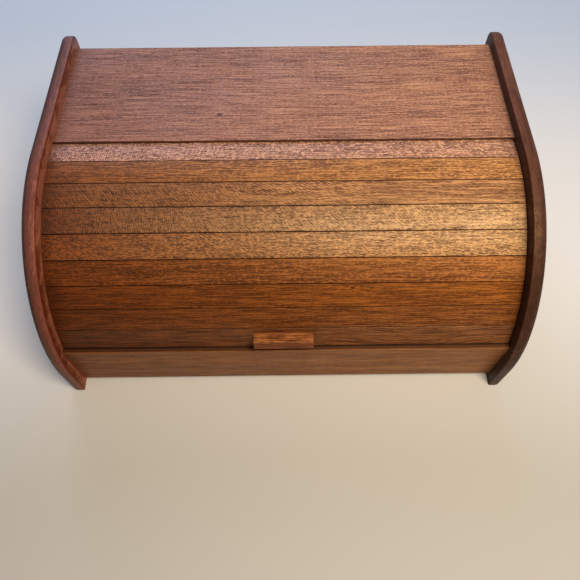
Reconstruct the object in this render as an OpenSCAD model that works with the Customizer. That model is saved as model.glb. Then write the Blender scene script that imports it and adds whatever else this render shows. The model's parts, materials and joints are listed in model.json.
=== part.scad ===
// Tambour lid box in teak. Two end panels with rounded outer edges carry a top board, a front rail,
// a bottom board and a back board. Their inner faces are routed with an arc groove. The lid is a
// curtain of flat slats on canvas, whose end tongues run in the groove, back under the top board.
// X runs along the box, the front is at -Y, and the panels stand on Z = 0.

/* [Case] */
// Width over both end panels
case_w = 400; // [320:5:520]
// Height of the end panels
case_h = 171; // [165:1:220]
// Radius of the quarter round at the front of the end panels
front_r = 137; // [126:1:150]
// Depth from the centre of the quarter round to the back edge
back_reach = 141; // [140:1:190]
// Thickness of the end panels
panel_t = 12; // [10.5:0.5:15]
// Rounding of the end panels' outer edges
edge_round = 6.5; // [3:0.5:7.5]
// Easing of the end panels' inner edges
edge_ease = 1; // [0.5:0.25:2]
// Radius of the panels' upper back corner
back_corner_r = 8; // [7.5:0.5:20]
// How deep the panels are grooved for the bottom and the back board
dado_depth = 5; // [3:0.5:6]

/* [Top board] */
// Thickness of the top board
board_t = 10; // [8:0.5:16]
// Drop from the top of the panels to the board
board_drop = 9.5; // [8.5:0.25:10]
// Distance from the board's back edge to the panels' back edge
board_inset = 9.5; // [6:0.5:10]
// How far the board's front lip covers the first slat
board_lap = 0.5; // [0.2:0.1:4]
// Small rounding of the board's and the rail's long edges
board_ease = 0.8; // [0.3:0.1:0.9]

/* [Tambour] */
// Distance from the panels' edge down to the slats' faces
slat_drop = 11; // [10.5:0.25:12.5]
// Thickness of a slat
slat_t = 6; // [5:0.25:7]
// Width of a slat
slat_w = 19.5; // [18:0.25:20]
// Width of the lead slat that carries the pull
lead_w = 20.5; // [18:0.25:24]
// Gap between two slats on the canvas side
slat_gap = 0.15; // [0.1:0.05:0.4]
// Gap between two slats at their faces, whose sides lean to close it on the curve
face_gap = 0.4; // [0.2:0.05:1]
// Chamfer along the long edges of a slat's face
slat_ease = 0.3; // [0.2:0.05:0.8]
// Gap between a slat's shoulder and the end panel
shoulder_gap = 0.5; // [0.3:0.1:1.2]
// Thickness of the tongue at a slat's end
tongue_t = 3.5; // [2.5:0.25:4.5]
// Length of the tongue beyond the end panel's face
tongue_l = 5.2; // [3:0.1:5.4]
// Running room all round a tongue in its groove
groove_room = 0.7; // [0.5:0.05:1.2]
// Thickness of the canvas
canvas_t = 0.6; // [0.4:0.1:1.2]
// Distance from the canvas's edge to the end panel
canvas_inset = 4; // [2:0.5:12]
// Turn of the tambour from closed to open
open_turn = 60; // [30:1:62]

/* [Front rail] */
// Height of the front rail
rail_h = 58.5; // [50:0.5:70]
// Thickness of the front rail
rail_t = 12; // [10:0.5:16]
// Distance from the panels' front edge to the rail's face
rail_inset = 10; // [9:0.25:11]
// Height of the rail's and the boards' lower edge over the surface below
foot_gap = 6; // [2:0.5:12]
// Room between the closed lead slat and the rail
seat_gap = 0.4; // [0.3:0.1:0.8]

/* [Bottom and back] */
// Thickness of the bottom board
bottom_t = 8; // [6:0.5:12]
// Step from the rail's lower edge to the bottom board
bottom_step = 3; // [1:0.5:8]
// How deep the bottom board's front edge sits in the rail
rail_groove = 4; // [2:0.5:6]
// Thickness of the back board
back_t = 5; // [3:0.5:5.5]
// Step from the top board's back edge to the back board's face
back_step = 1; // [0.5:0.25:1.5]
// How deep the back board's upper edge sits in the top board
top_groove = 3; // [2:0.5:5]

/* [Pull] */
// Width of the pull
pull_w = 49; // [34:1:80]
// How far the pull stands out from the lead slat
pull_d = 11; // [10.5:0.5:14]
// Thickness of the pull
pull_t = 7.25; // [6.5:0.25:10]
// Distance from the lead slat's upper edge to the pull
pull_drop = 5.2; // [4:0.1:6]
// Distance from the box's middle to the pull's middle, to the left below 0
pull_shift = -2; // [-20:0.5:20]
// Rounding of the pull's outer edges
pull_round = 1.2; // [0.5:0.1:3]

/* [Fasteners] */
// Diameter of the dowels
dowel_d = 6; // [5:0.5:8]
// Length of the dowels
dowel_l = 30; // [24:1:50]
// How deep the dowels go into the end panels
dowel_seat = 8; // [5:0.5:9]
// Distance from a board's or the rail's edge to the nearest dowel
dowel_edge = 18; // [10:1:24]
// Length of the pull's screws
screw_l = 15; // [11:0.5:17]
// Diameter of the screws' shank
screw_d = 3.5; // [2.5:0.25:4]
// Diameter of the screws' head
screw_head_d = 6.5; // [5:0.25:7.5]
// Distance between the pull's two screws
screw_span = 26; // [16:1:28]
// Length of the brads in the back board
brad_l = 20; // [12:1:30]
// Diameter of a brad's shank
brad_d = 1.4; // [1:0.1:2]
// Diameter of a brad's head
brad_head_d = 2.8; // [2:0.1:4]

/* [Hidden] */
$fn = 96;

// Overshoot of a cut beyond the face that it opens
cut = 1;
// Hole radius over the radius of what it holds
hole_fit = 0.05;
// Room at the end of a blind hole, dado or groove
end_room = 0.4;
// Distance from the canvas's edge to the lead slat's lower edge
canvas_margin = 3;
// Room between the passing slats and the top board's cove
cove_room = 0.6;
// How far the grooves run on past the tambour's ends, in degrees
groove_margin = 1.3;

// Case
case_d = front_r + back_reach;
front_y = -case_d / 2;
back_y = case_d / 2;
arc_y = front_y + front_r;
arc_z = case_h - front_r;
inner_w = case_w - 2 * panel_t;
board_top = case_h - board_drop;
board_under = board_top - board_t;
board_back = back_y - board_inset;
rail_face = front_y + rail_inset;
rail_back = rail_face + rail_t;
rail_top = foot_gap + rail_h;
bottom_under = foot_gap + bottom_step;
back_outer = board_back - back_step;
back_inner = back_outer - back_t;
board_w = inner_w + 2 * (dado_depth - end_room);

// Tambour: angles are turned from straight up towards the front, about the arc's centre
slat_count = 8;
slat_r = front_r - slat_drop;
slat_back_r = slat_r - slat_t;
pitch = 2 * atan(slat_w / 2 / slat_back_r);
lead_pitch = 2 * atan(lead_w / 2 / slat_back_r);
lead_corner_r = norm([slat_r, lead_w / 2]);
seat_z = rail_top + seat_gap;
lead_angle = acos((seat_z - arc_z) / lead_corner_r) - atan(lead_w / 2 / slat_r);
tail_edge = lead_angle - lead_pitch / 2 - (slat_count + 1) * pitch;
swept_r = norm([slat_r, face_half(slat_w)]);
tongue_r = norm([slat_back_r + tongue_t, max(slat_w, lead_w) / 2]);
shoulder_w = inner_w - 2 * shoulder_gap;
tongue_w = inner_w + 2 * tongue_l;
canvas_w = inner_w - 2 * canvas_inset;
canvas_end = lead_w / 2 - canvas_margin;

// Groove
groove_in_r = slat_back_r - groove_room;
groove_out_r = tongue_r + groove_room;
groove_mid_r = (groove_in_r + groove_out_r) / 2;
groove_depth = tongue_l + end_room;
groove_front = lead_angle + lead_pitch / 2 + groove_margin / 2;
groove_back = tail_edge - open_turn - groove_margin;

// Top board's lip
cove_r = swept_r + cove_room;
board_front = arc_y - swept_r * sin(slat_angle(1) - pitch / 2) - board_lap;

// Pull, placed on the lead slat's face
pull_top = lead_w / 2 - pull_drop;
pull_mid = pull_top - pull_t / 2;

// Fasteners
screw_head_h = (screw_head_d - screw_d) / 2;
screw_tip_r = 0.2;
brad_count = 5;
brad_head_h = 0.6;
board_dowel_count = 3;

// Half the width of a slat's face, which fills the slat's share of the arc but for the gap
function face_half(width) = (width * slat_r / slat_back_r - face_gap) / 2;

// Angle of a slat's middle; number 0 is the tail slat, which stays under the top board
function slat_angle(k) = lead_angle - lead_pitch / 2 - (slat_count - k + 0.5) * pitch;

// A point in Y and Z at a distance from the arc's centre, at an angle towards the front
function arc_point(r, a) = [arc_y - r * sin(a), arc_z + r * cos(a)];

// A list from its last entry to its first
function reverse(list) = [for (i = [len(list) - 1:-1:0]) list[i]];

// Turns a shape that is drawn straight above the arc's centre towards the front
module at_angle(a) {
    translate([0, arc_y, arc_z]) rotate([a, 0, 0]) children();
}

// Revolves a section, drawn as distance from the axis by place along X, between two angles
module sweep_arc(y, z, a0, a1) {
    translate([0, y, z]) rotate([a0, 0, 0]) rotate([180, -90, 0])
        rotate_extrude(angle = a1 - a0) children();
}

// Extrudes a section, drawn as Y by Z, along X with its middle at 0
module along_x(length) {
    translate([-length / 2, 0, 0]) rotate([90, 0, 90]) linear_extrude(length) children();
}

// The waste outside a rounded corner at the origin, of a shape that lies at -X and +Y
module corner_waste(r) {
    difference() {
        translate([-r, -cut]) square([r + cut, r + cut]);
        translate([-r, r]) circle(r);
    }
}

// A panel cut across its edge, which lies at reach: well rounded outside, eased on its +Y side
module edge_section(reach) {
    difference() {
        translate([0, -panel_t / 2]) square([reach, panel_t]);
        translate([reach, -panel_t / 2]) corner_waste(edge_round);
        translate([reach, panel_t / 2]) mirror([0, 1]) corner_waste(edge_ease);
    }
}

// A rectangle whose two upper corners are rounded
module eased_section(size, r) {
    square([size[0], size[1] - r]);
    translate([r, 0]) square([size[0] - 2 * r, size[1]]);
    for (x = [r, size[0] - r])
        translate([x, size[1] - r]) circle(r);
}

// Both ends of the rail or of the top board: children are drawn once for each end panel's face
module both_ends() {
    for (side = [-1, 1])
        translate([side * inner_w / 2, 0, 0]) rotate([0, side * 90, 0]) children();
}

module dowel(room = 0, fit = 0) {
    translate([0, 0, dowel_seat - dowel_l - room])
        cylinder(h = dowel_l + 2 * room, d = dowel_d + 2 * fit);
}

// Places of the rail's dowels in Y and Z
rail_dowel_places = [for (z = [foot_gap + dowel_edge, rail_top - dowel_edge])
    [(rail_face + rail_back) / 2, z]];

// Places of the top board's dowels in Y and Z, over the board's thick part behind the arc
board_dowel_step = (board_back - arc_y) / (board_dowel_count + 1);
board_dowel_places = [for (i = [0:board_dowel_count - 1])
    [board_back - dowel_edge - i * board_dowel_step, board_top - board_t / 2]];

module dowels_at(places, room = 0, fit = 0) {
    for (p = places)
        translate([0, p[0], p[1]]) both_ends() dowel(room, fit);
}

// The panel's outline: quarter round at the front, small round at the upper back corner
module panel_blank() {
    corner_y = back_y - back_corner_r;
    corner_z = case_h - back_corner_r;
    sweep_arc(arc_y, arc_z, 0, 90) edge_section(front_r);
    linear_extrude(arc_z) translate([0, arc_y]) rotate(-90) edge_section(front_r);
    translate([0, corner_y, 0]) rotate([90, 0, 0]) linear_extrude(corner_y - arc_y)
        rotate(90) mirror([0, 1]) edge_section(case_h);
    sweep_arc(corner_y, corner_z, -90, 0) edge_section(back_corner_r);
    linear_extrude(corner_z) translate([0, corner_y]) rotate(90) mirror([0, 1])
        edge_section(back_corner_r);
}

// The stopped arc groove, with the round ends that a router bit leaves
module arc_groove() {
    face = panel_t / 2;
    sweep_arc(arc_y, arc_z, groove_back, groove_front)
        translate([groove_in_r, face - groove_depth])
            square([groove_out_r - groove_in_r, groove_depth + cut]);
    for (a = [groove_back, groove_front])
        at_angle(a) translate([face - groove_depth, 0, groove_mid_r]) rotate([0, 90, 0])
            cylinder(h = groove_depth + cut, d = groove_out_r - groove_in_r);
}

// Grooves for the bottom board and the back board
module panel_dados() {
    face = panel_t / 2;
    translate([face - dado_depth, rail_back, bottom_under])
        cube([dado_depth + cut, back_inner - rail_back + cut, bottom_t]);
    translate([face - dado_depth, back_inner, bottom_under])
        cube([dado_depth + cut, back_t, board_under + top_groove - bottom_under]);
}

// The left panel; its inner face looks towards +X
module end_panel() {
    difference() {
        translate([(panel_t - case_w) / 2, 0, 0]) difference() {
            panel_blank();
            arc_groove();
            panel_dados();
        }
        dowels_at(concat(rail_dowel_places, board_dowel_places), end_room, hole_fit);
    }
}

module side_left() {
    color([0.36, 0.20, 0.15]) end_panel();
}

module side_right() {
    color([0.36, 0.20, 0.15]) mirror([1, 0, 0]) end_panel();
}

// The top board: its front is coved from below to a thin lip that the slats pass under
module top_board() {
    color([0.62, 0.36, 0.25]) difference() {
        along_x(inner_w) translate([board_front, board_under])
            eased_section([board_back - board_front, board_t], board_ease);
        at_angle(0) rotate([0, 90, 0]) cylinder(h = inner_w + cut, r = cove_r, center = true);
        translate([-inner_w / 2 - cut, back_inner, board_under - cut])
            cube([inner_w + 2 * cut, back_t, top_groove + cut]);
        dowels_at(board_dowel_places, end_room, hole_fit);
    }
}

module front_rail() {
    color([0.45, 0.27, 0.18]) difference() {
        along_x(inner_w) translate([rail_face, foot_gap])
            eased_section([rail_t, rail_h], board_ease);
        translate([-inner_w / 2 - cut, rail_back - rail_groove, bottom_under])
            cube([inner_w + 2 * cut, rail_groove + cut, bottom_t]);
        dowels_at(rail_dowel_places, end_room, hole_fit);
    }
}

// The bottom board: its ends run into the panels, and its front edge into the rail
module bottom_board() {
    front = rail_back - rail_groove + end_room;
    color([0.55, 0.36, 0.22]) difference() {
        union() {
            translate([-inner_w / 2, front, bottom_under])
                cube([inner_w, back_inner - front, bottom_t]);
            translate([-board_w / 2, rail_back, bottom_under])
                cube([board_w, back_inner - rail_back, bottom_t]);
        }
        brads_at(hole_fit);
    }
}

// The back board: its ends run into the panels, and its upper edge into the top board
module back_board() {
    color([0.50, 0.32, 0.20]) difference() {
        translate([-board_w / 2, back_inner, bottom_under])
            cube([board_w, back_t, board_under + top_groove - end_room - bottom_under]);
        brads_at(hole_fit);
    }
}

// Brads through the back board into the bottom board's back edge
module brads_at(fit = 0) {
    step = inner_w / brad_count;
    for (i = [0:brad_count - 1])
        translate([(i - (brad_count - 1) / 2) * step, back_outer, bottom_under + bottom_t / 2])
            rotate([90, 0, 0]) {
                cylinder(h = brad_l + fit, d = brad_d + 2 * fit);
                translate([0, 0, -fit])
                    cylinder(h = brad_head_h + fit, d = brad_head_d + 2 * fit);
            }
}

// A slat above the arc's centre: full section between the shoulders, tongues beyond them.
// Its face runs from low, towards the rail, to the half width that fills its share of the arc
module slat_bar(width, low) {
    back = (width - slat_gap) / 2;
    high = face_half(width);
    along_x(shoulder_w) polygon([
        [-back, slat_back_r], [back, slat_back_r],
        [high, slat_r - slat_ease], [high - slat_ease, slat_r],
        [slat_ease - low, slat_r], [-low, slat_r - slat_ease]]);
    along_x(tongue_w) translate([-back, slat_back_r]) square([2 * back, tongue_t]);
}

module slat(k) {
    at_angle(slat_angle(k)) slat_bar(slat_w, face_half(slat_w));
}

module tail_slat() {
    color([0.56, 0.36, 0.22]) slat(0);
}

module slat_1() {
    color([0.66, 0.43, 0.32]) slat(1);
}

module slat_2() {
    color([0.58, 0.35, 0.19]) slat(2);
}

module slat_3() {
    color([0.55, 0.32, 0.17]) slat(3);
}

module slat_4() {
    color([0.53, 0.30, 0.16]) slat(4);
}

module slat_5() {
    color([0.52, 0.29, 0.15]) slat(5);
}

module slat_6() {
    color([0.48, 0.26, 0.14]) slat(6);
}

module slat_7() {
    color([0.44, 0.23, 0.13]) slat(7);
}

module slat_8() {
    color([0.42, 0.22, 0.12]) slat(8);
}

// Places the pull's two screws on the lead slat, with their heads on the canvas side
module at_screws() {
    for (side = [-1, 1])
        at_angle(lead_angle)
            translate([pull_shift + side * screw_span / 2, pull_mid, slat_back_r]) children();
}

// A countersunk screw whose head is flush with Z = 0; its hole runs out over that face
module screw(fit = 0, over = 0) {
    r = screw_d / 2 + fit;
    shank_l = screw_l - screw_d / 2 + fit;
    cylinder(h = shank_l, r = r);
    translate([0, 0, shank_l]) cylinder(h = r, r1 = r, r2 = screw_tip_r);
    translate([0, 0, -over])
        cylinder(h = screw_head_h + over, r1 = r + screw_head_h + over, r2 = r);
}

// The lead slat: its lower edge is cut level, to close on the rail
module lead_slat() {
    color([0.42, 0.25, 0.16]) difference() {
        at_angle(lead_angle) slat_bar(lead_w, lead_w / 2);
        translate([-case_w / 2, front_y, seat_z - case_h])
            cube([case_w, case_d / 2, case_h]);
        at_screws() screw(hole_fit, cut);
    }
}

// One face of the canvas as a line of flats in Y and Z, from the tail slat to the lead slat
function canvas_line(r) = concat(
    [for (k = [0:slat_count + 1]) arc_point(r / cos(pitch / 2), tail_edge + k * pitch)],
    [arc_point(norm([r, canvas_end]), lead_angle + atan(canvas_end / r))]);

// Canvas glued flat across the backs of all the slats
module canvas_backing() {
    color([0.72, 0.66, 0.54]) difference() {
        along_x(canvas_w) polygon(concat(canvas_line(slat_back_r),
            reverse(canvas_line(slat_back_r - canvas_t))));
        at_screws() translate([0, 0, -canvas_t - cut])
            cylinder(h = canvas_t + 2 * cut, d = screw_head_d + 2 * end_room);
    }
}

// The pull: a bar with rounded outer edges, rounded again at its ends
module pull() {
    color([0.55, 0.30, 0.14]) difference() {
        at_angle(lead_angle) translate([pull_shift, 0, 0]) intersection() {
            along_x(pull_w) translate([pull_top - pull_t, slat_r])
                eased_section([pull_t, pull_d], pull_round);
            translate([-pull_w / 2, pull_top + cut, slat_r]) rotate([90, 0, 0])
                linear_extrude(pull_t + 2 * cut) eased_section([pull_w, pull_d], pull_round);
        }
        at_screws() screw(hole_fit, cut);
    }
}

module pull_screws() {
    color([0.78, 0.62, 0.30]) at_screws() screw();
}

module rail_dowels() {
    color([0.80, 0.66, 0.46]) dowels_at(rail_dowel_places);
}

module board_dowels() {
    color([0.80, 0.66, 0.46]) dowels_at(board_dowel_places);
}

module back_brads() {
    color([0.55, 0.54, 0.52]) brads_at();
}

side_left();
side_right();
top_board();
back_board();
bottom_board();
front_rail();
tail_slat();
slat_1();
slat_2();
slat_3();
slat_4();
slat_5();
slat_6();
slat_7();
slat_8();
lead_slat();
canvas_backing();
pull();
pull_screws();
rail_dowels();
board_dowels();
back_brads();
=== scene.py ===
"""Looks of a teak tambour lid box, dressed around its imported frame.

The frame gives every piece its place. This script gives the pieces their wood, cloth and metal,
makes the slats, the canvas and the fasteners anew in finer form, and sets up a plain studio.
Lengths are in metres, and MM turns a maker's millimetres into them.
"""

import json
import logging
import math
from collections.abc import Sequence
from dataclasses import dataclass, field
from enum import Enum
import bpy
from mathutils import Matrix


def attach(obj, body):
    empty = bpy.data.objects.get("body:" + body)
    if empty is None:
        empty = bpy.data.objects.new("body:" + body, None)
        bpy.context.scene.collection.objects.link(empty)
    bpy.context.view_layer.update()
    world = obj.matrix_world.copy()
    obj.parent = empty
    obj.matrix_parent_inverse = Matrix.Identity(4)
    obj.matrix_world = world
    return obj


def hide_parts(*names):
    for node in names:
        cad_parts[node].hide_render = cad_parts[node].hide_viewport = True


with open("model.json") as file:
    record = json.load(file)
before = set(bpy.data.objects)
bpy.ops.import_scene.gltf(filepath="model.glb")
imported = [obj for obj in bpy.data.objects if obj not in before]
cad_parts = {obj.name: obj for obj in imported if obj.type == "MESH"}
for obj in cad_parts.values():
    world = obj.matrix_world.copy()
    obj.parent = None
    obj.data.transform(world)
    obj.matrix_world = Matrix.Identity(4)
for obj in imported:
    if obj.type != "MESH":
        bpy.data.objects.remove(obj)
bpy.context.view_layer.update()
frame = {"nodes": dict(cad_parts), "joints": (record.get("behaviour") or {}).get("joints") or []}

from types import SimpleNamespace

import bmesh
import bpy
import numpy as np
from mathutils import Euler, Matrix, Vector

MM = 0.001
LOG = logging.getLogger("tambour_box")

Colour = tuple[int, int, int]
Point = tuple[float, float, float]
Node = bpy.types.Node
NodeTree = bpy.types.NodeTree
Material = bpy.types.Material
Mesh = bpy.types.Mesh
Object = bpy.types.Object


def linear(colour: Colour) -> tuple[float, float, float, float]:
    """Turns a colour chart's 0 to 255 values into the renderer's linear ones.

    Args:
        colour: red, green and blue as a colour chart gives them.

    Returns:
        Linear red, green, blue and full alpha.
    """
    share = [c / 255 for c in colour]
    red, green, blue = (s / 12.92 if s <= 0.04045 else ((s + 0.055) / 1.055) ** 2.4 for s in share)
    return red, green, blue, 1.0


def in_metres(held: object, *names: str) -> dict[str, float]:
    """Reads sizes in millimetres by their names and gives them in metres."""
    return {name: getattr(held, name) * MM for name in names}


def labelled(values: dict[str, object]) -> dict[str, object]:
    """Turns keywords into the labels of sockets, such as line_width into Line width."""
    return {name.replace("_", " ").capitalize(): value for name, value in values.items()}


class Kind(Enum):
    """Kinds of socket that the groups and trees have, by Blender's short name of each."""

    VALUE = "NodeSocketFloat"
    INT = "NodeSocketInt"
    VECTOR = "NodeSocketVector"
    MATERIAL = "NodeSocketMaterial"
    OBJECT = "NodeSocketObject"
    GEOMETRY = "NodeSocketGeometry"


class Wire:
    """What runs from one node to the next, with the usual arithmetic for numbers and vectors."""

    def __init__(self, graph: "Graph", socket: bpy.types.NodeSocket) -> None:
        """Takes hold of a node's output."""
        self.graph = graph
        self.socket = socket

    def __add__(self, other: object) -> "Wire":
        """Adds a value."""
        return self.graph.maths("ADD", self, other)

    def __sub__(self, other: object) -> "Wire":
        """Takes a value away."""
        return self.graph.maths("SUBTRACT", self, other)

    def __rsub__(self, other: float) -> "Wire":
        """Takes it away from a number."""
        return self.graph.maths("SUBTRACT", other, self)

    def __mul__(self, other: object) -> "Wire":
        """Multiplies it; a number scales a vector."""
        return self.graph.maths("MULTIPLY", self, other)

    def __truediv__(self, other: object) -> "Wire":
        """Divides it."""
        return self.graph.maths("DIVIDE", self, other)

    def __abs__(self) -> "Wire":
        """Drops its sign."""
        return self.graph.maths("ABSOLUTE", self)

    def least(self, other: object) -> "Wire":
        """Keeps the smaller of two numbers."""
        return self.graph.maths("MINIMUM", self, other)

    def most(self, other: object) -> "Wire":
        """Keeps the larger of two numbers."""
        return self.graph.maths("MAXIMUM", self, other)

    def above(self, limit: object) -> "Wire":
        """Gives 1 where it is above a limit, and 0 elsewhere."""
        return self.graph.maths("GREATER_THAN", self, limit)

    def sine(self) -> "Wire":
        """Takes its sine."""
        return self.graph.maths("SINE", self)

    def spread(self, low: object, high: object, start: float = 0.0, end: float = 1.0,
               smooth: bool = False) -> "Wire":
        """Maps a number from one range to another, held at the ends.

        Args:
            low: what becomes the start.
            high: what becomes the end.
            start: result at the low limit.
            end: result at the high limit.
            smooth: whether the change eases in and out.

        Returns:
            The mapped number.
        """
        kind = "SMOOTHSTEP" if smooth else "LINEAR"
        return self.graph.get("ShaderNodeMapRange", {0: self, 1: low, 2: high, 3: start, 4: end},
                              interpolation_type=kind)

    def spread_mm(self, low: float, high: float, *limits: float, smooth: bool = False) -> "Wire":
        """Maps a distance in the same way, between two that are given in millimetres."""
        return self.spread(low * MM, high * MM, *limits, smooth=smooth)

    def toward(self, other: object, share: object) -> "Wire":
        """Mixes a colour with another by a share."""
        return self.graph.mix(share, self, other)

    def parts(self) -> tuple["Wire", ...]:
        """Takes a vector apart."""
        outputs = self.graph.add("ShaderNodeSeparateXYZ", {0: self}).outputs
        return tuple(Wire(self.graph, socket) for socket in outputs)

    def turned(self, angle: object) -> "Wire":
        """Turns a vector about z."""
        return self.graph.get("ShaderNodeVectorRotate", {"Vector": self, "Angle": angle},
                              rotation_type="Z_AXIS")

    def moved(self, place: "Wire", **turn: "Wire") -> "Wire":
        """Moves a shape, after a turn that is given as rotation."""
        return self.graph.get("GeometryNodeTransform",
                              {"Geometry": self, "Translation": place, **labelled(turn)})


def is_vector(value: object) -> bool:
    """Says whether a value is a vector or a colour."""
    return isinstance(value, tuple) or (isinstance(value, Wire) and value.socket.type in ("VECTOR", "RGBA"))


class Graph:
    """A node tree that is being wired, with a short call for each kind of node."""

    def __init__(self, tree: NodeTree) -> None:
        """Starts on a tree, which may already hold nodes."""
        self.tree = tree

    def fill(self, node: Node, inputs: dict[str | int, object]) -> None:
        """Links or sets a node's inputs.

        Args:
            node: the node.
            inputs: wires or values, by the input's number or by its name among those in use.
        """
        for key, value in inputs.items():
            socket = (node.inputs[key] if isinstance(key, int)
                      else next(s for s in node.inputs if s.name == key and s.enabled))
            if isinstance(value, Wire):
                self.tree.links.new(value.socket, socket)
            else:
                socket.default_value = value

    def add(self, kind: str, inputs: dict[str | int, object] | None = None, **settings: object) -> Node:
        """Adds a node.

        Args:
            kind: Blender's name of the node type.
            inputs: wires or values for its inputs.
            **settings: properties set before the inputs.

        Returns:
            The new node.
        """
        node = self.tree.nodes.new(kind)
        for name, value in settings.items():
            setattr(node, name, value)
        self.fill(node, inputs or {})
        return node

    def get(self, kind: str, inputs: dict[str | int, object] | None = None, output: str | None = None,
            **settings: object) -> Wire:
        """Adds a node for one of its outputs.

        Args:
            kind: Blender's name of the node type.
            inputs: wires or values for its inputs.
            output: the output's name, or None for the first one in use.
            **settings: properties set before the inputs.

        Returns:
            The output.
        """
        outputs = self.add(kind, inputs, **settings).outputs
        return Wire(self, next(s for s in outputs if s.enabled and output in (None, s.name)))

    def get_all(self, kind: str, inputs: dict[str | int, object] | None = None,
                **settings: object) -> SimpleNamespace:
        """Adds a node and gives all its outputs, named with underscores for spaces."""
        outputs = self.add(kind, inputs, **settings).outputs
        return SimpleNamespace(**{s.name.lower().replace(" ", "_"): Wire(self, s) for s in outputs if s.name})

    def use(self, group: NodeTree, **inputs: object) -> SimpleNamespace:
        """Places a shader group and gives its outputs."""
        return self.get_all("ShaderNodeGroup", labelled(inputs), node_tree=group)

    def maths(self, operation: str, *values: object) -> Wire:
        """Adds a node of arithmetic.

        Args:
            operation: Blender's name of the operation.
            *values: wires, numbers or points; the first one tells numbers from vectors.

        Returns:
            The result.
        """
        if not is_vector(values[0]):
            return self.get("ShaderNodeMath", dict(enumerate(values)), operation=operation)
        if operation == "MULTIPLY" and not is_vector(values[1]):
            return self.get("ShaderNodeVectorMath", {0: values[0], "Scale": values[1]}, operation="SCALE")
        return self.get("ShaderNodeVectorMath", dict(enumerate(values)), operation=operation)

    def mix(self, share: object, first: object, second: object) -> Wire:
        """Mixes two numbers or two colours."""
        return self.get("ShaderNodeMix", {"Factor": share, "A": first, "B": second},
                        data_type="RGBA" if is_vector(first) else "FLOAT")

    def noise(self, place: Wire, detail: float = 2.0, roughness: float = 0.5,
              output: str | None = None) -> Wire:
        """Adds a noise of about one wave to the unit, as a grey value or as its Color."""
        return self.get("ShaderNodeTexNoise", {"Vector": place, "Scale": 1.0, "Detail": detail,
                                               "Roughness": roughness}, output)

    def join(self, x: object, y: object, z: object) -> Wire:
        """Puts a vector together."""
        return self.get("ShaderNodeCombineXYZ", {0: x, 1: y, 2: z})

    def cells(self, place: Sequence[Wire], length: object, width: object) -> Wire:
        """Scales a place along, across and into the wood to cells of a length and a width."""
        along, across, depth = place
        return self.join(along / length, across / width, depth / width)

    def bump(self, height: Wire, strength: float, depth: float) -> Wire:
        """Adds a relief whose depth is given in millimetres."""
        return self.get("ShaderNodeBump", {"Height": height, "Strength": strength, "Distance": depth * MM})

    def close(self, **outputs: Wire) -> NodeTree:
        """Ends a group with its outputs.

        Args:
            **outputs: what it puts out, named with underscores for spaces.

        Returns:
            The group's tree.
        """
        for label, wire in labelled(outputs).items():
            self.tree.interface.new_socket(name=label, in_out="OUTPUT",
                                           socket_type=Kind[wire.socket.type].value)
        self.add("NodeGroupOutput", labelled(outputs))
        return self.tree


def open_group(name: str, inputs: dict[Kind, tuple[str, ...]],
               tree_type: str = "ShaderNodeTree") -> tuple[Graph, SimpleNamespace]:
    """Starts a node group with named inputs.

    Args:
        name: the group's name.
        inputs: its inputs by kind, named with underscores for spaces.
        tree_type: ShaderNodeTree or GeometryNodeTree.

    Returns:
        The graph to wire, and the inputs.
    """
    tree = bpy.data.node_groups.new(name, tree_type)
    for kind, names in inputs.items():
        for label in labelled(dict.fromkeys(names)):
            tree.interface.new_socket(name=label, in_out="INPUT", socket_type=kind.value)
    graph = Graph(tree)
    return graph, graph.get_all("NodeGroupInput")


def open_material(name: str) -> tuple[Material, Graph, Node]:
    """Starts a material.

    Args:
        name: the material's name.

    Returns:
        The material, its graph and its shader.
    """
    made = bpy.data.materials.new(name)
    made.use_nodes = True
    return made, Graph(made.node_tree), made.node_tree.nodes["Principled BSDF"]


class Waves:
    """Waves to the metre, along, across and into the wood or even, by what they draw."""

    WANDER = (9.0, 14.0, 14.0)
    RIPPLE = (120.0, 160.0, 160.0)
    HAZE = (7.0, 26.0, 26.0)
    FIGURE = (22.0, 70.0, 70.0)
    SPECKLE = (400.0, 800.0, 800.0)
    RUB = (70.0, 260.0, 260.0)
    SCUFF = (60.0, 2200.0, 2200.0)
    CLOUD = (70.0, 70.0, 260.0)
    BEND = 110.0
    RAG = 300.0
    KNOT = 900.0
    SMUDGE = 16.0
    SCUFF_PATCH = 45.0


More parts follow.
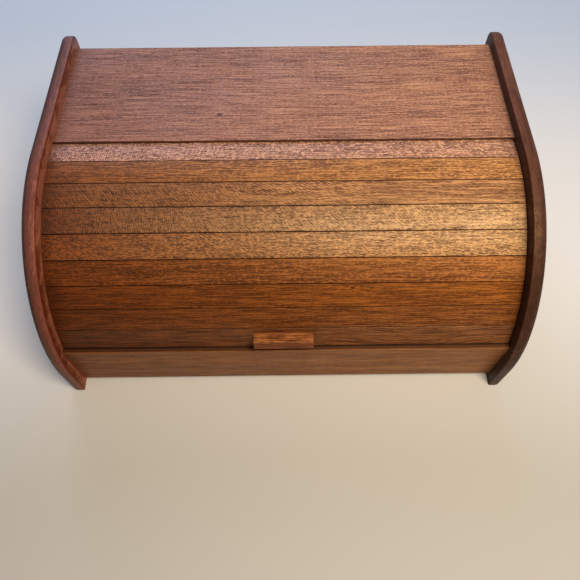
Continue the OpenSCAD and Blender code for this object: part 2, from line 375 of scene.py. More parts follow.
class WoodEffects:
    """Shader groups that every wooden piece shares.

    A grain vector runs along the fibres in x, across the face in y and into the wood in z.
    """

    def __init__(self) -> None:
        """Builds each group once."""
        self.lines = self._lines()
        self.pores = self._pores()
        self.flecks = self._flecks()
        self.arris = self._arris()
        self.knot = self._knot()
        self.handling = self._handling()

    def _lines(self) -> NodeTree:
        """Builds growth lines and broad bands that wander and ripple, and that can bend into an arch.

        Returns:
            The group.
        """
        graph, given = open_group("growth_lines", {
            Kind.VECTOR: ("grain",),
            Kind.VALUE: ("line_length", "line_width", "band_width", "fibre_pitch", "wander", "ripple",
                         "arch_place", "arch_reach", "arch_rise")})
        along, across, depth = given.grain.parts()
        slow = graph.noise(given.grain * Waves.WANDER, 1.0)
        quick = graph.noise(given.grain * Waves.RIPPLE, 1.0)
        drift = (slow * 2.0 - 1.0) * given.wander
        ripple = (quick * 2.0 - 1.0) * given.ripple
        off = (along - given.arch_place) / given.arch_reach
        rise = graph.maths("EXPONENT", off * off * -1.0) * given.arch_rise
        bent = across + drift + (ripple + rise)
        place = (along, bent, depth)
        lines = graph.noise(graph.cells(place, given.line_length, given.line_width), 3.0, 0.6)
        bands = graph.noise(graph.cells(place, 0.25, given.band_width), 2.0)
        rings = ((quick * 1.2 + bent / given.fibre_pitch) * math.tau).sine()
        return graph.close(lines=lines + rings * 0.07, bands=bands, bent_grain=graph.join(*place))

    def _pores(self) -> NodeTree:
        """Builds open pores: short dark dashes along the grain, each in a cell of its own.

        Returns:
            The group.
        """
        graph, given = open_group("open_pores", {
            Kind.VECTOR: ("grain",), Kind.VALUE: ("length", "width", "share")})
        cells = graph.cells(given.grain.parts(), given.length, given.width)
        spots = graph.get_all("ShaderNodeTexVoronoi", {"Vector": cells, "Scale": 1.0})
        dash = spots.distance.spread(0.44, 0.2, smooth=True)
        chance, strength, _ = spots.color.parts()
        kept = graph.maths("LESS_THAN", chance, given.share)
        return graph.close(pores=dash * kept * strength.spread(0.0, 1.0, 0.35, 1.0))

    def _flecks(self) -> NodeTree:
        """Builds ray flecks: short strokes that lean over the grain, each a little bent.

        Returns:
            The group.
        """
        graph, given = open_group("ray_flecks", {
            Kind.VECTOR: ("grain",), Kind.VALUE: ("lean", "length", "width")})
        bend = graph.noise(given.grain * Waves.BEND, 1.0, output="Color") - (0.5, 0.5, 0.5)
        place = (given.grain + bend * (3.2 * MM)).turned(given.lean).parts()
        dashes = graph.noise(graph.cells(place, given.length, given.width), 1.5)
        rays = (place[1] / given.width * math.pi).sine()
        return graph.close(flecks=dashes + rays * 0.11)

    def _arris(self) -> NodeTree:
        """Builds rubbing with painted highlights, and soiling with painted shade, on a piece that is about a
        box, from its centred coordinates.

        The rubbing paints the arrises pale, also as the highlights that they catch. The darkening is painted
        shade with some soiling, on the sides below the face, where they meet a neighbour, along the face's
        edges, and on the face near both ends, where the end panels shade it.

        Returns:
            The group.
        """
        graph, given = open_group("arris_wear", {
            Kind.VECTOR: ("local", "half_size"),
            Kind.VALUE: ("reach", "lower_grime", "upper_grime", "end_grime")})
        to_end, to_side, to_face = abs(given.half_size - abs(given.local)).parts()
        nearest = to_end.least(to_side.least(to_face))
        furthest = to_end.most(to_side.most(to_face))
        to_arris = to_end + (to_side + to_face) - (nearest + furthest)
        rub = graph.noise(given.local * Waves.RUB, 2.0)
        # The arrises rubbed pale, which also paints the highlights that they catch
        wear = to_arris.spread(given.reach * rub.spread(0.3, 0.7, 0.2, 1.7), 0.0, smooth=True)
        _, across, into = given.local.parts()
        _, _, half_into = given.half_size.parts()
        # Painted shade with some soiling on the sides below the face and along the face's edges, in the
        # joints
        sunk = (half_into - into).spread_mm(0.2, 0.75, smooth=True) * to_side.spread_mm(1.0, 0.6)
        upper = across.above(0.0)
        crept = rub.spread(0.3, 0.65, 0.25 * MM, 0.75 * MM)
        creep = to_side.spread(crept, crept * 0.5) * (1.0 - upper * 0.75)
        joint = sunk.most(creep) * graph.mix(upper, given.lower_grime, given.upper_grime)
        # Painted shade with some soiling on the face near both ends, where the end panels stand
        cloudy = given.end_grime * rub.spread(0.25, 0.7, 0.5, 1.0)
        end = to_end.spread_mm(15.0, 0.0, smooth=True) * cloudy
        return graph.close(wear=wear, grime=joint.most(end))

    def _knot(self) -> NodeTree:
        """Builds one knot or dark spot, with a ragged edge.

        Returns:
            The group.
        """
        graph, given = open_group("knot", {Kind.VECTOR: ("grain", "place", "size")})
        away = (given.grain - given.place) / given.size * (1.0, 1.0, 0.0)
        ragged = graph.noise(given.grain * Waves.KNOT, 2.0)
        distance = graph.maths("LENGTH", away) + ragged.spread(0.2, 0.8, -0.4, 0.4)
        return graph.close(knot=distance.spread(1.0, 0.35, smooth=True))

    def _handling(self) -> NodeTree:
        """Builds marks of use: large soft smudges and fine scuffs across the grain.

        Returns:
            The group.
        """
        graph, given = open_group("handling", {Kind.VECTOR: ("local",)})
        smudges = graph.noise(given.local * Waves.SMUDGE, 3.0, 0.55)
        fine = graph.noise(given.local.turned(0.5) * Waves.SCUFF, 1.0)
        patches = graph.noise(given.local * Waves.SCUFF_PATCH, 1.0)
        return graph.close(smudges=smudges.spread(0.35, 0.68, smooth=True),
                           scuffs=fine.spread(0.66, 0.74) * patches.spread(0.52, 0.62))


@dataclass(frozen=True)
class Knot:
    """A knot or dark spot on a piece's face.

    Attributes:
        along: its place along the piece, in millimetres from the middle.
        across: its place across the piece.
        length: half its length in millimetres.
        width: half its width.
        strength: how dark it is.
    """

    along: float
    across: float
    length: float
    width: float
    strength: float = 0.8


@dataclass(frozen=True)
class Flecks:
    """Ray flecks on a piece: how strong, how they lean and where they change or fade.

    Attributes:
        share: strength where they are strongest.
        leans: degrees that they lean over the grain, left and right of the turn.
        turn: where along the piece the first lean gives way to the second, in millimetres.
        fade: where they begin to fade out, in millimetres.
        rest: share that is left beyond the fade.
        length: length of a stroke in millimetres.
        width: width of a stroke in millimetres.
        fade_reach: how far the fade takes, in millimetres.
    """

    share: float
    leans: tuple[float, float]
    turn: tuple[float, float]
    fade: float
    rest: float
    length: float = 4.2
    width: float = 0.9
    fade_reach: float = 70.0


class Lie(Enum):
    """How a piece's fibres lie: the turn that brings its coordinates to along, across, into."""

    FLAT = (0.0, 0.0, 0.0)
    UPRIGHT = (math.radians(-90), 0.0, 0.0)
    PANEL = (math.radians(-90), math.radians(-90), 0.0)


@dataclass(frozen=True)
class Blank:
    """The piece of wood that a finish is laid on: where its own coordinates come from.

    Attributes:
        half: half its size along, across and into the wood.
        centre: its middle after the turn.
        turn: turn from object coordinates, as an Euler angle, where they are used.
        attribute: name of the attribute that holds its coordinates, or "" for object coordinates.
    """

    half: Point
    centre: Point
    turn: Point = (0.0, 0.0, 0.0)
    attribute: str = ""

    def local(self, graph: Graph) -> Wire:
        """Adds the piece's centred coordinates to a material.

        Args:
            graph: the material's graph.

        Returns:
            The coordinates.
        """
        if self.attribute:
            stored = graph.get("ShaderNodeAttribute", output="Vector", attribute_name=self.attribute)
            return stored - self.centre
        source = graph.get("ShaderNodeTexCoord", output="Object")
        back = tuple(-c for c in self.centre)
        return graph.get("ShaderNodeMapping", {"Vector": source, "Location": back, "Rotation": self.turn})


def blank_of(node: Object, turn: Point) -> Blank:
    """Measures a CAD node in the frame that its fibres give.

    Args:
        node: the node's object.
        turn: Euler turn from object coordinates to along, across, into.

    Returns:
        The blank, with its middle and its half size.
    """
    places = np.array([vertex.co for vertex in node.data.vertices])
    turned = places @ np.array(Euler(turn).to_matrix()).T
    low, high = turned.min(0), turned.max(0)
    return Blank(tuple(map(float, (high - low) / 2)), tuple(map(float, (high + low) / 2)), turn)


@dataclass(frozen=True)
class Bench:
    """What a finish of wood works with.

    Attributes:
        graph: the material's graph.
        effects: the shared shader groups.
        blank: the piece of wood.
        local: the piece's centred coordinates.
        along: how far along the piece.
        into: how far towards its face.
        grain: its coordinates in the tree that it was cut from.
    """

    graph: Graph
    effects: WoodEffects
    blank: Blank
    local: Wire
    along: Wire
    into: Wire
    grain: Wire

    @property
    def behind(self) -> Wire:
        """Measures how far a place lies behind the piece's face."""
        return self.blank.half[2] - self.into


# Tones of the wood's markings, as shares of its body tone
GROUND = (0.88, 0.86, 0.84)
PALE = (2.15, 2.45, 2.20)
GLINT = (2.80, 3.30, 3.20)
DEEP = (0.40, 0.24, 0.12)
PORE = (0.22, 0.11, 0.06)
# Pale rubbed arrises, which also stand for the highlights that they catch
RUB_AND_HIGHLIGHT = (1.40, 1.50, 1.65)
# Soiling and painted shade: in the joints, at the ends and along the panels' inner arris
GRIME_AND_SHADE = (0.18, 0.08, 0.05)

# Values of a noise between which its light and its dark marks come up
LIGHT_MARKS = (0.53, 0.61)
DARK_MARKS = (0.46, 0.38)

# Length, width and share of the fine and the coarse pores, lengths in millimetres
PORE_SIZES = ((4.0, 0.7, 0.5), (7.0, 1.15, 0.35))

# Places in millimetres, about a piece's middle, between which its tone drifts: painted light along the piece
PAINTED_LIGHT_FROM, PAINTED_LIGHT_TO = -190.0, 190.0

# Tints of the sheen
CLEAR, STRAW, HONEY, AMBER = (255, 255, 255), (255, 236, 200), (255, 226, 180), (255, 200, 130)


@dataclass(frozen=True)
class Teak:
    """The teak of one board: its tone, how strong its markings are and how it shines.

    Lengths are in millimetres, and the haze and the drift are shares of the body tone. The drift is painted
    light.

    Attributes:
        name: the material's name.
        slot: the record's slot.
        body: body tone.
        drift: painted light along the piece, as shares of every tone at the left and the right end.
        haze: tone of the broad hazy zones.
        haze_share, line_share, pale_share, glint_share, pore_share: strength of the zones, the dark
            lines, the pale bands, the pale lines and the pores.
        figure: its ray flecks, if it has them.
        speckle: strength of the fine speckle.
        line_length, line_width, band_width: size of a growth line and width of a band.
        fibre_pitch: from one ring to the next.
        wander, ripple: how far the lines leave the straight slowly and quickly.
        arch_place, arch_reach, arch_rise: an arch in the lines, by its place, length and height.
        roughness, gloss, gloss_tint: the sheen.
        wear_reach, wear_share: how far and how strongly the arrises are rubbed pale, which also paints their
            highlights.
        grime: strength of the soiling and painted shade in the lower joint, in the upper joint and at the
            ends.
        shift: where in the tree the board was cut, in metres.
        knots: its knots.
    """

    name: str
    slot: str
    body: Colour
    drift: tuple[Point, Point] = ((0.54, 0.34, 0.24), (1.46, 1.66, 1.76))
    haze: Point = (0.80, 0.84, 1.0)
    haze_share: float = 0.5
    line_share: float = 0.85
    pale_share: float = 0.35
    glint_share: float = 0.8
    pore_share: float = 0.6
    figure: Flecks | None = None
    speckle: float = 0.0
    line_length: float = 26.0
    line_width: float = 1.5
    band_width: float = 8.0
    fibre_pitch: float = 2.1
    wander: float = 1.0
    ripple: float = 0.3
    arch_place: float = 0.0
    arch_reach: float = 40.0
    arch_rise: float = 0.0
    roughness: float = 0.48
    gloss: float = 0.55
    gloss_tint: Colour = HONEY
    wear_reach: float = 0.5
    wear_share: float = 0.45
    grime: Point = (0.85, 0.85, 0.5)
    shift: Point = (0.0, 0.0, 0.0)
    knots: tuple[Knot, ...] = ()

    def tone(self, shares: Point) -> tuple[float, float, float, float]:
        """Gives a share of the body tone."""
        red, green, blue = (c * share for c, share in zip(linear(self.body), shares))
        return red, green, blue, 1.0

    def material(self, effects: WoodEffects, blank: Blank) -> Material:
        """Builds the finish for a piece.

        Args:
            effects: the shared shader groups.
            blank: where the piece's own coordinates come from.

        Returns:
            The material.
        """
        made, graph, shader = open_material(self.name)
        local = blank.local(graph)
        along, _, into = local.parts()
        bench = Bench(graph, effects, blank, local, along, into, local + self.shift)
        sizes = in_metres(self, "line_length", "line_width", "band_width", "fibre_pitch", "wander", "ripple",
                          "arch_reach", "arch_rise")
        marks = graph.use(effects.lines, grain=bench.grain, arch_place=self.arch_place * MM + self.shift[0],
                          **sizes)
        colour = self._lay_lines(bench, marks)
        colour, strokes = self._lay_figure(bench, colour)
        colour, pores = self._lay_pores(bench, colour, marks.bent_grain)
        colour, wear = self._age(bench, self._lay_knots(bench, colour))
        use = graph.use(effects.handling, local=local)
        rough = marks.lines.spread(0.3, 0.7, self.roughness - 0.06, self.roughness + 0.08)
        rough = rough + use.smudges * 0.06 + pores * 0.25 - wear * 0.06 + use.scuffs * 0.1
        height = marks.lines * 0.8 - pores
        if strokes:
            height = height + strokes * 0.8
        # The base colour carries painted light along the piece
        graph.fill(shader, {"Base Color": self._painted_light_along(bench, colour), "Roughness": rough,
                            "Normal": graph.bump(height, 0.7, 0.16), "IOR": 1.5,
                            "Specular IOR Level": self.gloss, "Specular Tint": linear(self.gloss_tint)})
        return made

    def _lay_lines(self, bench: Bench, marks: SimpleNamespace) -> Wire:
        """Lays the bands, the broad hazy zones and the growth lines over the body tone.

        Args:
            bench: what the finish works with.
            marks: the lines and the bands.

        Returns:
            The colour.
        """
        bands = marks.bands.spread(0.36, 0.64, 0.0, self.pale_share, smooth=True)
        colour = bench.graph.mix(bands, self.tone(GROUND), self.tone(PALE))
        zones = bench.graph.noise(bench.grain * Waves.HAZE, 2.0, 0.6)
        hazy = zones.spread(0.42, 0.66, 0.0, self.haze_share, smooth=True)
        colour = colour.toward(self.tone(self.haze), hazy)
        colour = colour.toward(self.tone(PALE), marks.lines.spread(0.48, 0.40, 0.0, self.glint_share))
        return colour.toward(self.tone(DEEP), marks.lines.spread(0.54, 0.64, 0.0, self.line_share))

    def _lay_figure(self, bench: Bench, colour: Wire) -> tuple[Wire, Wire | None]:
        """Lays the leaning flecks and the fine speckle over a colour.

        Args:
            bench: what the finish works with.
            colour: the colour so far.

        Returns:
            The colour, and the strokes of the flecks if it has them.
        """
        graph, figure, strokes = bench.graph, self.figure, None
        if figure:
            sizes = in_metres(figure, "length", "width")
            first, second = (
                graph.use(bench.effects.flecks, grain=bench.grain, lean=math.radians(lean), **sizes)
                for lean in figure.leans)
            strokes = graph.mix(bench.along.spread_mm(*figure.turn, smooth=True), first.flecks, second.flecks)
            patches = graph.noise(bench.grain * Waves.FIGURE, 1.0).spread(0.28, 0.60, 0.45, 1.0, smooth=True)
            ends = bench.along.spread_mm(figure.fade, figure.fade + figure.fade_reach, 1.0, figure.rest,
                                         smooth=True)
            colour = self._marked(colour, strokes, patches * ends * figure.share, 0.5)
        if self.speckle:
            fine = graph.noise(bench.grain * Waves.SPECKLE, 2.0, 0.6)
            colour = self._marked(colour, fine, self.speckle, 0.45)
        return colour, strokes

    def _marked(self, colour: Wire, marks: Wire, share: object, dark: float) -> Wire:
        """Lays a noise's light and dark marks over a colour, the dark ones at a part of the share."""
        colour = colour.toward(self.tone(GLINT), marks.spread(*LIGHT_MARKS) * share)
        return colour.toward(self.tone(DEEP), marks.spread(*DARK_MARKS) * (share * dark))

    def _lay_pores(self, bench: Bench, colour: Wire, bent: Wire) -> tuple[Wire, Wire]:
        """Lays fine and coarse pores over the figure.

        Args:
            bench: what the finish works with.
            colour: the colour so far.
            bent: the grain as the lines bend it.

        Returns:
            The colour and the pores.
        """
        graph, group = bench.graph, bench.effects.pores
        fine, coarse = (graph.use(group, grain=bent, length=length * MM, width=width * MM, share=share)
                        for length, width, share in PORE_SIZES)
        pores = (fine.pores * 0.6).most(coarse.pores)
        return colour.toward(self.tone(PORE), pores * self.pore_share), pores

    def _lay_knots(self, bench: Bench, colour: Wire) -> Wire:
        """Lays the knots over the figure.

        Args:
            bench: what the finish works with.
            colour: the colour so far.

        Returns:
            The colour.
        """
        for knot in self.knots:
            place = (knot.along * MM, knot.across * MM, 0.0)
            size = (knot.length * MM, knot.width * MM, 1.0)
            spot = bench.graph.use(bench.effects.knot, grain=bench.local, place=place, size=size).knot
            colour = colour.toward(self.tone(PORE), spot * knot.strength)
        return colour

    def _age(self, bench: Bench, colour: Wire) -> tuple[Wire, Wire]:
        """Rubs the arrises pale, with painted highlights, and darkens the joints and the ends with soiling
        and painted shade.

        Args:
            bench: what the finish works with.
            colour: the colour so far.

        Returns:
            The colour and the rubbed arrises, which carry painted highlights too.
        """
        lower, upper, end = self.grime
        age = bench.graph.use(bench.effects.arris, local=bench.local, half_size=bench.blank.half,
                              reach=self.wear_reach * MM, lower_grime=lower, upper_grime=upper, end_grime=end)
        # Rubbed arrises, pale as rubbed teak and as painted highlight
        colour = colour.toward(self.tone(RUB_AND_HIGHLIGHT), age.wear * self.wear_share)
        # Soiling and painted shade in the joints and at the ends
        return colour.toward(self.tone(GRIME_AND_SHADE), age.grime), age.wear

    def _painted_light_along(self, bench: Bench, colour: Wire) -> Wire:
        """Paints light along the piece: the tone drifts from one end of the piece to the other."""
        shares = (bench.along.spread_mm(PAINTED_LIGHT_FROM, PAINTED_LIGHT_TO, left, right)
                  for left, right in zip(*self.drift))
        return colour * bench.graph.join(*shares)


@dataclass(frozen=True)
class PanelTeak(Teak):
    """The teak of an end panel, with a dark band along its inner arris and a dark, mottled crown, and with
    painted light and shade on the crown and the inner face.

    Its tones are shares of the body tone too, but for inner_face and low_crown, which are shares of
    the tone that the place would have.

    Attributes:
        inside: 1 or -1, the side along x on which its inner face lies.
        arc: place of the quarter round's centre along and across, in millimetres.
        radius: radius of the quarter round.
        patch_share: strength of the dark patches.
        outer_crown_shade, outer_shade_share: painted shade on the outer half of the crown, where it turns
            away from the light, and its strength.
        inner_face: painted light and shade on the inner face, lighter where it faces the key lamp, darker
            where it faces away.
        back_tip_reflection, reflection_share: painted bluish reflection of the cool back light on the crown's
            back tip, and its strength.
        low_crown, low_share: tone of the crown towards the front, and its strength.
        inner_arris, red_share: tone and strength of the line along the inner arris.
    """

    inside: float = 1.0
    arc: tuple[float, float] = (-2.0, 34.0)
    radius: float = 137.0
    patch_share: float = 0.5
    outer_crown_shade: Point = (0.18, 0.16, 0.26)
    outer_shade_share: float = 0.8
    inner_face: Point = (1.15, 1.10, 0.90)
    back_tip_reflection: Point = (0.60, 0.90, 1.50)
    reflection_share: float = 0.75
    low_crown: Point = (0.50, 0.38, 0.28)
    low_share: float = 0.85
    inner_arris: Point = (0.55, 0.12, 0.08)
    red_share: float = 0.7

    def _age(self, bench: Bench, colour: Wire) -> tuple[Wire, Wire]:
        """Darkens the crown, paints shade on its outer half, light and shade on the inner face and a
        reflection on its back tip, and draws the lines along the inner arris.

        Args:
            bench: what the finish works with.
            colour: the colour so far.

        Returns:
            The colour and the pale line along the crown, rubbed teak and painted highlight.
        """
        graph, middle = bench.graph, bench.blank.centre
        centre = (self.arc[0] * MM - middle[0], self.arc[1] * MM - middle[1], 0.0)
        along, up, into = (bench.local - centre).parts()
        reach = graph.maths("LENGTH", graph.join(along.least(0.0), up.most(0.0), 0.0))
        rag = graph.noise(bench.local * Waves.RAG, 2.0)
        rim = self.radius * MM - reach + rag.spread(0.2, 0.8, -0.5 * MM, 0.5 * MM)
        side = into * self.inside

        # A dark band along the inner arris
        arris_band = rim.spread_mm(0.5, 1.0) * rim.spread_mm(2.4, 1.2) * side.spread_mm(5.3, 5.9)
        colour = colour.toward(self.tone(GRIME_AND_SHADE), arris_band * 0.75)
        clouds = graph.noise(bench.grain * Waves.CLOUD, 3.0, 0.6)
        crowned = rim.spread_mm(14.0, 3.0, 0.15 * self.patch_share, self.patch_share, smooth=True)
        colour = colour.toward(self.tone(DEEP), clouds.spread(0.48, 0.57, smooth=True) * crowned)
        # Painted light and shade on the inner face: the left panel's lit by the key lamp, the right one's in
        # shade
        colour = colour.toward(colour * self.inner_face, side.spread_mm(5.2, 5.9))

        # Painted shade on the crown's outer half, where it turns away from the light
        ragged = side + clouds.spread(0.35, 0.65, -2.4 * MM, 2.4 * MM)
        outer = rim.spread_mm(30.0, 2.0, 0.25, self.outer_shade_share, smooth=True)
        colour = colour.toward(self.tone(self.outer_crown_shade), ragged.spread_mm(3.4, 1.0, smooth=True) * outer)
        crown = rim.spread_mm(9.0, 3.0, smooth=True)
        # Painted bluish reflection of the cool back light on the crown's back tip
        tip = along.spread_mm(122.0, 136.0, 0.0, self.reflection_share, smooth=True)
        colour = colour.toward(self.tone(self.back_tip_reflection), crown * tip)
        low = up.spread_mm(126.0, 84.0, 0.0, self.low_share, smooth=True)
        colour = colour.toward(colour * self.low_crown, crown * low)

        red = side.spread_mm(5.1, 5.6) * rim.spread_mm(2.0, 1.0) * self.red_share
        colour = colour.toward(self.tone(self.inner_arris), red)
        # A pale line along the crown's top: rubbed teak and painted highlight
        rubbed_highlight = abs(rim).spread_mm(1.0, 0.0, 0.0, self.wear_share, smooth=True)
        return colour.toward(self.tone(RUB_AND_HIGHLIGHT), rubbed_highlight), rubbed_highlight


@dataclass(frozen=True)
class RailTeak(Teak):
    """The teak of the rail, with the dark line at which the closed tambour's foot rests on it: a painted
    contact shadow, with some soiling.

    Attributes:
        foot: distance from the rail's face back to that line, in millimetres.
        foot_shadow_line: the tone of that painted shadow, as shares of the body tone.
    """

    foot: float = 4.4
    foot_shadow_line: Point = (0.05, 0.02, 0.04)

    def _age(self, bench: Bench, colour: Wire) -> tuple[Wire, Wire]:
        """Adds the painted shadow line at the tambour's foot.

        Args:
            bench: what the finish works with.
            colour: the colour so far.

        Returns:
            The colour and the rubbed arrises, which carry painted highlights too.
        """
        colour, wear = super()._age(bench, colour)
        # Painted contact shadow, with some soiling, where the lead slat sits on the rail
        line = (bench.behind.spread_mm(self.foot - 1.5, self.foot - 0.8)
                * bench.behind.spread_mm(self.foot + 1.2, self.foot + 0.4))
        return colour.toward(self.tone(self.foot_shadow_line), line), wear


@dataclass(frozen=True)
class PullTeak(Teak):
    """The teak of the pull, whose front is darker and redder than its upper face: painted shade.

    Attributes:
        front: painted shade on the front, as shares of the tone that it would have.
    """

    front: Point = (0.52, 0.36, 0.30)

    def _age(self, bench: Bench, colour: Wire) -> tuple[Wire, Wire]:
        """Paints shade on the front as well."""
        colour, wear = super()._age(bench, colour)
        # Painted shade on the pull's front
        return colour.toward(colour * self.front, bench.behind.spread_mm(1.2, 0.4)), wear


@dataclass(frozen=True)
class Plain:
    """A finish for a small piece: two tones, their scale and the surface.

    Attributes:
        name: the material's name.
        slot: the record's slot.
        body: main tone.
        dark: tone of the marks.
        stretch: marks to the metre along x, y and z.
        roughness: roughness between the marks.
        metallic: 1 for bare metal.
        depth: height of the relief in millimetres.
        smudges: smudges to the metre.
    """

    name: str
    slot: str
    body: Colour
    dark: Colour
    stretch: Point
    roughness: float
    metallic: float = 0.0
    depth: float = 0.03
    smudges: float = 240.0

    def material(self) -> Material:
        """Builds the finish.

        Returns:
            The material.
        """
        made, graph, shader = open_material(self.name)
        place = graph.get("ShaderNodeTexCoord", output="Object")
        marks = graph.noise(place * self.stretch, 3.0, 0.6)
        smudge = graph.noise(place * self.smudges, 1.0)
        share = marks.spread(0.40, 0.66, smooth=True).most(smudge.spread(0.55, 0.75, 0.0, 0.6))
        rough = marks.spread(0.3, 0.7, self.roughness - 0.08, self.roughness + 0.12)
        graph.fill(shader, {"Base Color": graph.mix(share, linear(self.body), linear(self.dark)),
                            "Roughness": rough, "Metallic": self.metallic,
                            "Normal": graph.bump(marks, 0.5, self.depth)})
        return made


@dataclass(frozen=True)
class Canvas:
    """Plain-woven cotton canvas, read from the cloth's own attribute.

    Attributes:
        name: the material's name.
        slot: the record's slot.
        yarn: tone of the yarn.
        shade_and_stain: painted shade between the yarns, and the tone of the stains.
        pitch: from one yarn to the next, in millimetres.
        depth: height of the relief in millimetres.
    """

    name: str = "cotton_canvas"
    slot: str = "canvas"
    yarn: Colour = (190, 174, 143)
    shade_and_stain: Colour = (120, 104, 78)
    pitch: float = 0.9
    depth: float = 0.2

    def material(self) -> Material:
        """Builds the finish.

        Returns:
            The material.
        """
        made, graph, shader = open_material(self.name)
        place = graph.get("ShaderNodeAttribute", output="Vector", attribute_name="grain")
        wobble = graph.noise(place * 60.0, 1.0) * 1.2
        across, along, _ = (place * (1.0 / (self.pitch * MM))).parts()
        warp, weft = across + wobble, along + wobble
        warp_round, weft_round = (abs((thread * math.pi).sine()) for thread in (warp, weft))
        parity = abs(graph.maths("FLOOR", warp) + graph.maths("FLOOR", weft))
        weft_over = graph.maths("MODULO", parity, 2.0).above(0.5)
        height = graph.mix(weft_over, warp_round * (weft_round * 0.5 + 0.5),
                           weft_round * (warp_round * 0.5 + 0.5))
        yarn, shade_and_stain = linear(self.yarn), linear(self.shade_and_stain)
        stain = graph.noise(place * 22.0, 3.0).spread(0.45, 0.75, 0.0, 0.35)
        # Painted shade where the weave sinks between the yarns, and stains
        colour = graph.mix(height.spread(0.1, 0.75), shade_and_stain, yarn).toward(shade_and_stain, stain)
        graph.fill(shader, {"Base Color": colour, "Roughness": height.spread(0.0, 1.0, 0.95, 0.8),
                            "Normal": graph.bump(height, 0.8, self.depth)})
        return made


